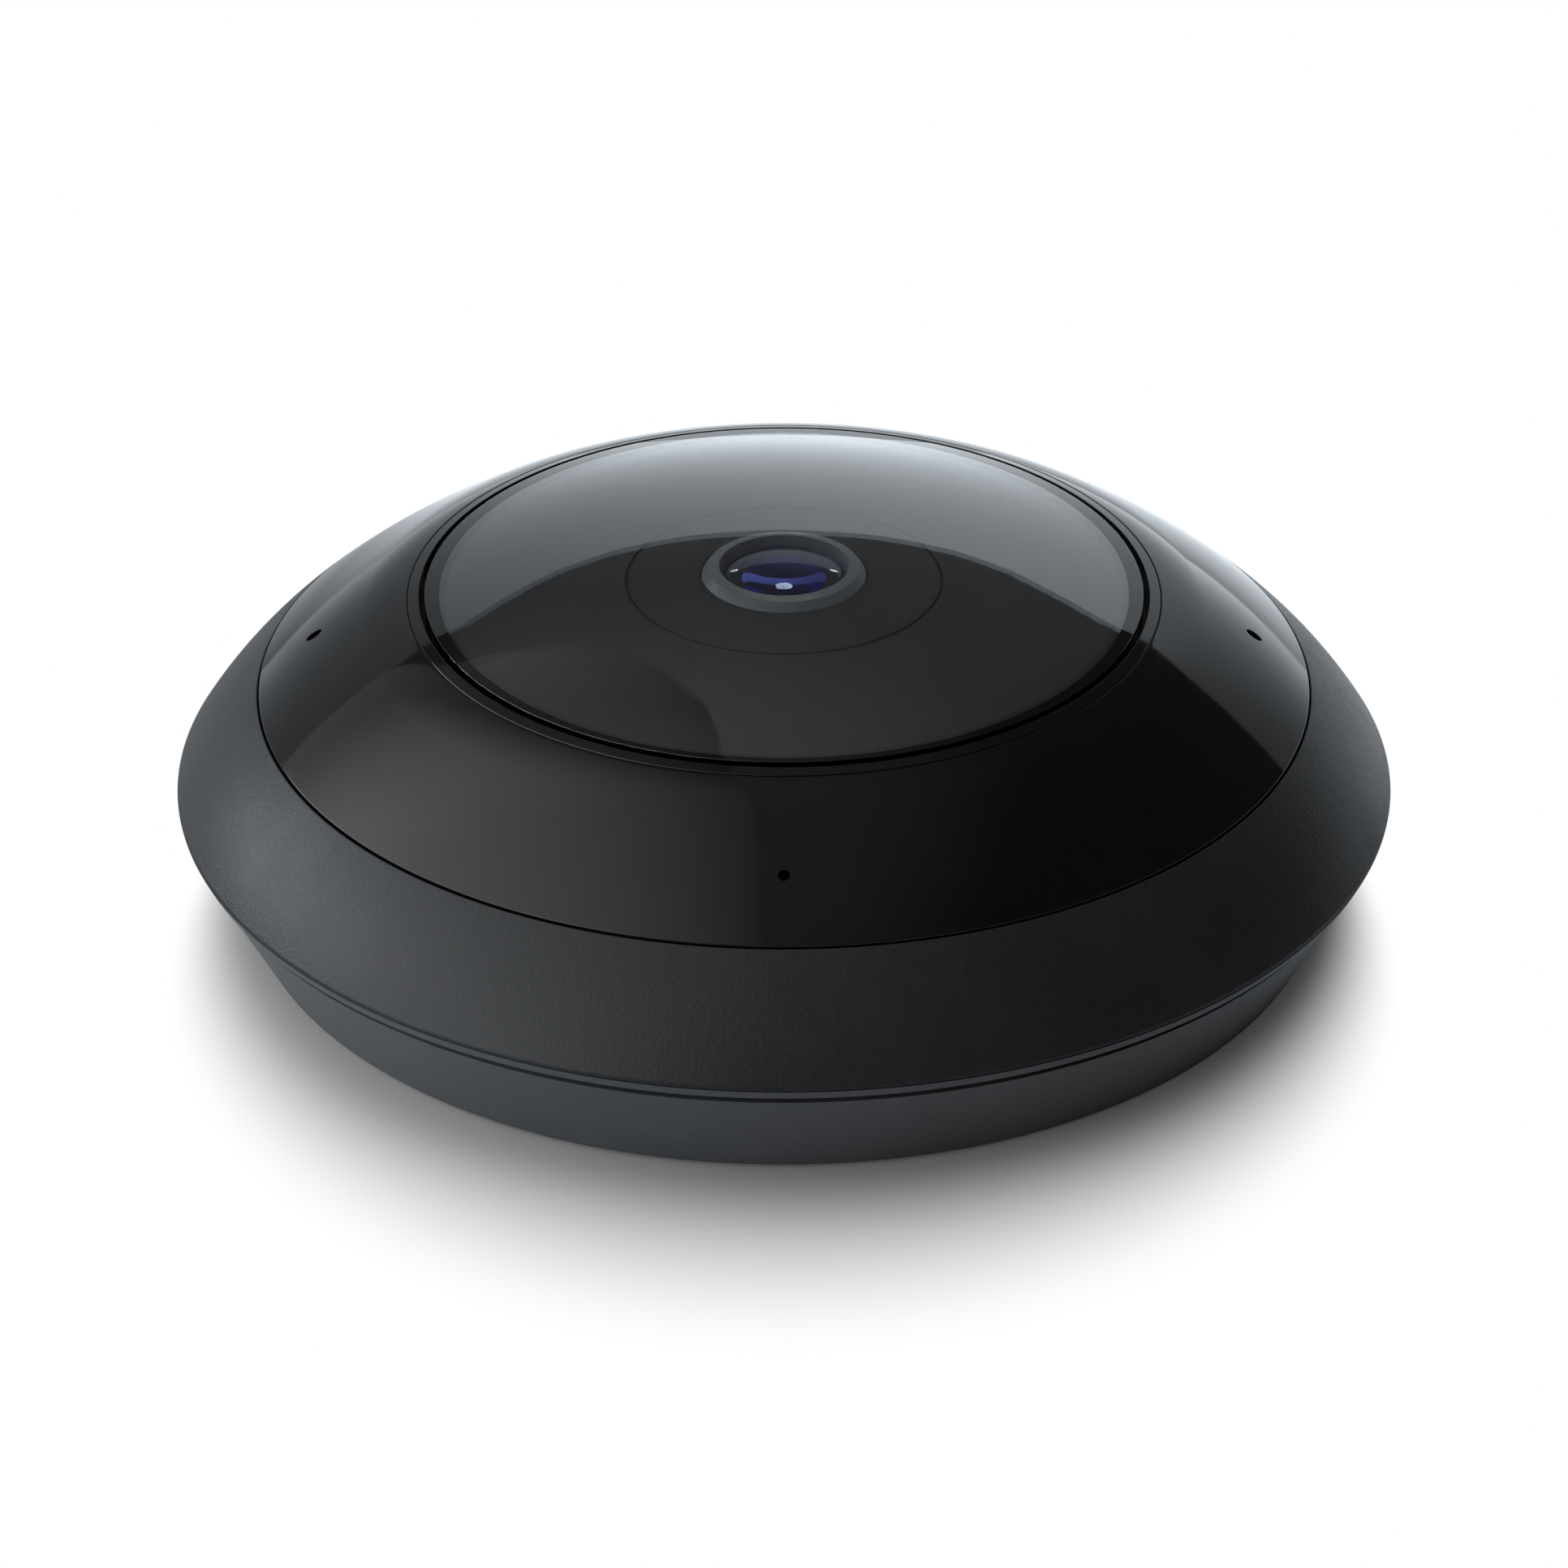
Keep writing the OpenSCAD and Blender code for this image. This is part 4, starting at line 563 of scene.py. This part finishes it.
painted_shadow_edge = add(tree, "ShaderNodeVectorMath", {"operation": "MULTIPLY_ADD"}, {
    0: place, 1: (painted_shadow_squeeze, 1, 1), 2: (0, painted_shadow_back, 0)}).outputs[0]
painted_shadow_edge = add(tree, "ShaderNodeVectorMath", {"operation": "LENGTH"}, {0: painted_shadow_edge}).outputs["Value"]
painted_shadow_edge = add(tree, "ShaderNodeMath", {"operation": "SUBTRACT"}, {0: painted_shadow_r, 1: painted_shadow_edge}).outputs[0]
painted_shadow_edge = add(tree, "ShaderNodeMath", {"operation": "MAXIMUM"}, {0: painted_shadow_edge, 1: 0.001}).outputs[0]
painted_shadow_edge = add(tree, "ShaderNodeMath", {"operation": "ADD"}, {0: foot, 1: painted_shadow_edge}).outputs[0]
painted_shadow_edge = add(tree, "ShaderNodeMath", {"operation": "MULTIPLY_ADD"}, {
    0: painted_shadow_edge, 1: painted_shadow_reach, 2: (1 - painted_shadow_reach) * foot_r}).outputs[0]
# Painted shadow edge: from the foot out to the drawn outline, the plain floor and its real shadow
# are mixed into painted white.
glow = add(tree, "ShaderNodeMapRange", {"interpolation_type": "SMOOTHSTEP"}, {
    "Value": foot, "From Min": foot_r, "From Max": painted_shadow_edge, "To Min": 0.04, "To Max": 1}).outputs[0]
# Painted floor light for the gloss: its glow is brightest behind, dimmer to one side and far off,
# as if lit by the lamps.
way = add(tree, "ShaderNodeVectorMath", {"operation": "NORMALIZE"}, {0: place}).outputs[0]
back = add(tree, "ShaderNodeVectorMath", {"operation": "DOT_PRODUCT"}, {
    0: way, 1: (-0.2, 1.3, 0)}).outputs["Value"]
side = add(tree, "ShaderNodeVectorMath", {"operation": "DOT_PRODUCT"}, {
    0: way, 1: (0.9, -0.45, 0)}).outputs["Value"]
painted_floor_light = add(tree, "ShaderNodeMapRange", {}, {
    "Value": back, "From Min": 0.05, "From Max": 0.62, "To Min": 0.42, "To Max": 1}).outputs[0]
side = add(tree, "ShaderNodeMapRange", {"interpolation_type": "SMOOTHSTEP"}, {
    "Value": side, "From Min": -0.85, "From Max": -0.72, "To Min": 0.55, "To Max": 1.3}).outputs[0]
far = add(tree, "ShaderNodeMapRange", {}, {
    "Value": far, "From Min": 0.15, "From Max": 0.6, "To Min": 1, "To Max": 0.7}).outputs[0]
painted_floor_light = add(tree, "ShaderNodeMath", {"operation": "MULTIPLY"}, {0: painted_floor_light, 1: side}).outputs[0]
painted_floor_light = add(tree, "ShaderNodeMath", {"operation": "MULTIPLY"}, {0: painted_floor_light, 1: far}).outputs[0]
path = add(tree, "ShaderNodeLightPath", {}, {}).outputs
seen = add(tree, "ShaderNodeMath", {"operation": "MAXIMUM"}, {
    0: path["Is Camera Ray"], 1: path["Is Glossy Ray"]}).outputs[0]
seen = add(tree, "ShaderNodeMath", {"operation": "MAXIMUM"}, {
    0: seen, 1: path["Is Transmission Ray"]}).outputs[0]
share = add(tree, "ShaderNodeMath", {"operation": "MULTIPLY"}, {0: glow, 1: seen}).outputs[0]
plain = add(tree, "ShaderNodeBsdfDiffuse", {}, {"Color": (0.43, 0.415, 0.405, 1)}).outputs[0]
level = add(tree, "ShaderNodeMapRange", {}, {
    "Value": path["Is Camera Ray"], "To Min": painted_floor_light, "To Max": 1}).outputs[0]
# Painted light colour: for all but camera rays the floor glows bluish like the lamps.
colour = add(tree, "ShaderNodeMix", {"data_type": "RGBA"}, {
    0: path["Is Camera Ray"], 6: (0.87, 0.94, 1, 1), 7: (1, 1, 1, 1)}).outputs[2]
bright = add(tree, "ShaderNodeEmission", {}, {"Color": colour, "Strength": level}).outputs[0]
mixed = add(tree, "ShaderNodeMixShader", {}, {0: share, 1: plain, 2: bright}).outputs[0]
below = add(tree, "ShaderNodeNewGeometry", {}, {}).outputs["Backfacing"]
nothing = add(tree, "ShaderNodeBsdfTransparent", {}, {}).outputs[0]
mixed = add(tree, "ShaderNodeMixShader", {}, {0: below, 1: mixed, 2: nothing})
add(tree, "ShaderNodeOutputMaterial", {}, {"Surface": mixed.outputs[0]})
mesh = bmesh.new()
for radius in (opening_r, floor_r):
    bmesh.ops.create_circle(mesh, segments=96, radius=radius,
                            matrix=Matrix.Translation((0, 0, -floor_low)))
bmesh.ops.bridge_loops(mesh, edges=mesh.edges)
for face in mesh.faces:
    if face.normal.z < 0:
        face.normal_flip()
made = bpy.data.meshes.new("floor")
mesh.to_mesh(made)
mesh.free()
made.materials.append(white)
floor = bpy.data.objects.new("floor", made)
bpy.context.scene.collection.objects.link(floor)

# Cards and fill: a white backdrop whose curved top the gloss mirrors, a large softbox at the
# upper left, a bright narrow strip low on the left, and a soft lamp overhead. All are hidden
# from the camera. Sizes are in metres.


def card(name, corners, colour, top, bottom, bend, axis, middle, near, reach):
    """A glowing card through corners in metres. Its light goes from top at its highest point
    to bottom at its lowest on a curve of the power bend. Each of the two is a pair: its
    level up to near metres from middle along axis, and its level from reach metres on."""
    made, tree = new_material(name)
    place = add(tree, "ShaderNodeTexCoord", {}, {}).outputs["Object"]
    height = add(tree, "ShaderNodeSeparateXYZ", {}, {0: place}).outputs["Z"]
    depth = add(tree, "ShaderNodeMapRange", {}, {
        "Value": height, "From Min": max(c[2] for c in corners),
        "From Max": min(c[2] for c in corners)}).outputs[0]
    depth = add(tree, "ShaderNodeMath", {"operation": "POWER"}, {0: depth, 1: bend}).outputs[0]
    along = add(tree, "ShaderNodeVectorMath", {"operation": "DOT_PRODUCT"}, {
        0: place, 1: axis}).outputs["Value"]
    off = add(tree, "ShaderNodeMath", {"operation": "SUBTRACT"}, {0: along, 1: middle}).outputs[0]
    off = add(tree, "ShaderNodeMath", {"operation": "ABSOLUTE"}, {0: off}).outputs[0]
    high, low = [add(tree, "ShaderNodeMapRange", {"interpolation_type": "SMOOTHSTEP"}, {
        "Value": off, "From Min": near, "From Max": reach, "To Min": pair[0],
        "To Max": pair[1]}).outputs[0] for pair in (top, bottom)]
    level = add(tree, "ShaderNodeMapRange", {}, {
        "Value": depth, "To Min": high, "To Max": low}).outputs[0]
    light = add(tree, "ShaderNodeEmission", {}, {"Color": colour, "Strength": level})
    add(tree, "ShaderNodeOutputMaterial", {}, {"Surface": light.outputs[0]})
    mesh = bmesh.new()
    mesh.faces.new([mesh.verts.new(c) for c in corners])
    shape = bpy.data.meshes.new(name)
    mesh.to_mesh(shape)
    mesh.free()
    shape.materials.append(made)
    piece = bpy.data.objects.new(name, shape)
    bpy.context.scene.collection.objects.link(piece)
    piece.visible_camera = False


# The backdrop's top, as x and z at 1 metre from the window's middle.
edge = [(-1.5, 0.44), (-1.235, 0.547), (-1.1, 0.6), (-0.966, 0.634), (-0.8, 0.67), (-0.65, 0.69),
        (-0.5, 0.675), (-0.4, 0.63), (-0.32, 0.57), (-0.25, 0.52), (-0.18, 0.485),
        (-0.1, 0.465), (0, 0.458), (0.1, 0.465), (0.18, 0.485), (0.25, 0.52), (0.32, 0.57),
        (0.4, 0.62), (0.5, 0.65), (0.65, 0.665), (0.8, 0.66), (0.966, 0.634), (1.1, 0.6),
        (1.235, 0.547), (1.5, 0.44)]
behind, above = 1.3, 0.046
card("backdrop", [(-2, behind, 0)] + [(behind * x, behind, behind * z + above) for x, z in edge]
     + [(2, behind, 0)], (0.87, 0.94, 1, 1), top=(0.74, 0.3), bottom=(2.1, 0.9), bend=5.5,
     axis=(1, 0, 0), middle=0.35, near=0, reach=1.1)
card("softbox", [(-0.07, -1.5, 1.152), (-0.07, 0.3, 1.152), (-0.085, 0.55, 1.142),
                 (-0.125, 0.78, 1.115), (-0.205, 0.946, 1.061), (-0.29, 1.03, 1.003),
                 (-0.374, 1.06, 0.946), (-0.45, 1.04, 0.894), (-0.62, 1, 0.778),
                 (-0.9, 0.9, 0.588), (-1.25, 0.8, 0.35), (-1.25, -1.5, 0.35)],
     (0.93, 0.97, 1, 1), top=(0.28, 0), bottom=(2.7, 0.7), bend=1.1,
     axis=(0, 1, 0), middle=-3, near=3.15, reach=3.8)
card("strip", [(-1.05, -1.3, 0.47), (-1.05, 0.75, 0.47), (-1.35, 0.75, 0.25), (-1.35, -1.3, 0.25)],
     (0.93, 0.97, 1, 1), top=(6.5, 3.2), bottom=(9, 4.5), bend=1,
     axis=(0, 1, 0), middle=0.65, near=0.1, reach=1)
fill = bpy.data.lights.new("fill", "AREA")
fill.energy = 14
fill.size = 1.6
lamp = bpy.data.objects.new("fill", fill)
lamp.location = (0, 0, 1.8)
lamp.visible_glossy = False
bpy.context.scene.collection.objects.link(lamp)

# Three round lamps behind the object that glint in the lens. They glow only for a ray that has
# been down through the window and back, so that the window's own faces show none of them.
# Each has its turn and its height in degrees, seen from the lens, and its radius in metres.
spot_away, lens_height = 1.2, 0.045
spots = {"spot_top": (0, 46.5, 0.055), "spot_left": (-13, 25.5, 0.02),
         "spot_right": (13, 25.5, 0.02)}
spot, tree = new_material("spot")
path = add(tree, "ShaderNodeLightPath", {}, {}).outputs
deep = add(tree, "ShaderNodeMath", {"operation": "COMPARE"}, {
    0: path["Transmission Depth"], 1: 4, 2: 0.5}).outputs[0]
sharp = add(tree, "ShaderNodeMath", {"operation": "LESS_THAN"}, {
    0: path["Diffuse Depth"], 1: 0.5}).outputs[0]
shown = add(tree, "ShaderNodeMath", {"operation": "MULTIPLY"}, {0: deep, 1: sharp}).outputs[0]
clear_air = add(tree, "ShaderNodeBsdfTransparent", {}, {}).outputs[0]
glow = add(tree, "ShaderNodeEmission", {}, {"Color": (1, 1, 0.9, 1), "Strength": 400}).outputs[0]
mixed = add(tree, "ShaderNodeMixShader", {}, {0: shown, 1: clear_air, 2: glow})
add(tree, "ShaderNodeOutputMaterial", {}, {"Surface": mixed.outputs[0]})
for name, (turn_by, rise, radius) in spots.items():
    way = Vector((sin(radians(turn_by)) * cos(radians(rise)),
                  cos(radians(turn_by)) * cos(radians(rise)), sin(radians(rise))))
    mesh = bmesh.new()
    bmesh.ops.create_circle(mesh, cap_ends=True, segments=48, radius=radius,
                            matrix=Matrix.Translation(Vector((0, 0, lens_height)) + spot_away * way)
                            @ way.to_track_quat("Z", "Y").to_matrix().to_4x4())
    made = bpy.data.meshes.new(name)
    mesh.to_mesh(made)
    mesh.free()
    made.materials.append(spot)
    piece = bpy.data.objects.new(name, made)
    bpy.context.scene.collection.objects.link(piece)

# Surroundings: white behind the object, and for all other rays a dark room that is a little
# lighter overhead, with soft light from under the floor for looks at the underside.
world = bpy.data.worlds.new("studio")
bpy.context.scene.world = world
world.use_nodes = True
tree = world.node_tree
tree.nodes.clear()
way = add(tree, "ShaderNodeTexCoord", {}, {}).outputs["Generated"]
way = add(tree, "ShaderNodeVectorMath", {"operation": "DOT_PRODUCT"}, {
    0: way, 1: (-0.5, 0, 1)}).outputs["Value"]
dusk = add(tree, "ShaderNodeMapRange", {"interpolation_type": "SMOOTHSTEP"}, {
    "Value": way, "From Min": 0.6, "From Max": 1, "To Min": 0.045, "To Max": 0.2}).outputs[0]
low = add(tree, "ShaderNodeMapRange", {"interpolation_type": "SMOOTHSTEP"}, {
    "Value": way, "From Min": -0.6, "From Max": -0.9, "To Max": 0.8}).outputs[0]
dusk = add(tree, "ShaderNodeMath", {"operation": "ADD"}, {0: dusk, 1: low}).outputs[0]
path = add(tree, "ShaderNodeLightPath", {}, {}).outputs
level = add(tree, "ShaderNodeMapRange", {}, {
    "Value": path["Is Camera Ray"], "To Min": dusk, "To Max": 1}).outputs[0]
back = add(tree, "ShaderNodeBackground", {}, {"Color": (1, 1, 1, 1), "Strength": level})
add(tree, "ShaderNodeOutputWorld", {}, {"Surface": back.outputs[0]})

# Camera: a long lens about 0.7 m away, looking down by 29.7 degrees, so that the object fills
# the frame as in the photograph.
look_down = 29.73
view = bpy.data.cameras.new("view")
view.lens = 121.88
view.sensor_width = 36
camera = bpy.data.objects.new("view", view)
camera.location = (0, -0.6047, 0.3587)
camera.rotation_euler = (radians(90 - look_down), 0, 0)
bpy.context.scene.collection.objects.link(camera)
bpy.context.scene.camera = camera
bpy.context.scene.view_settings.view_transform = "Standard"
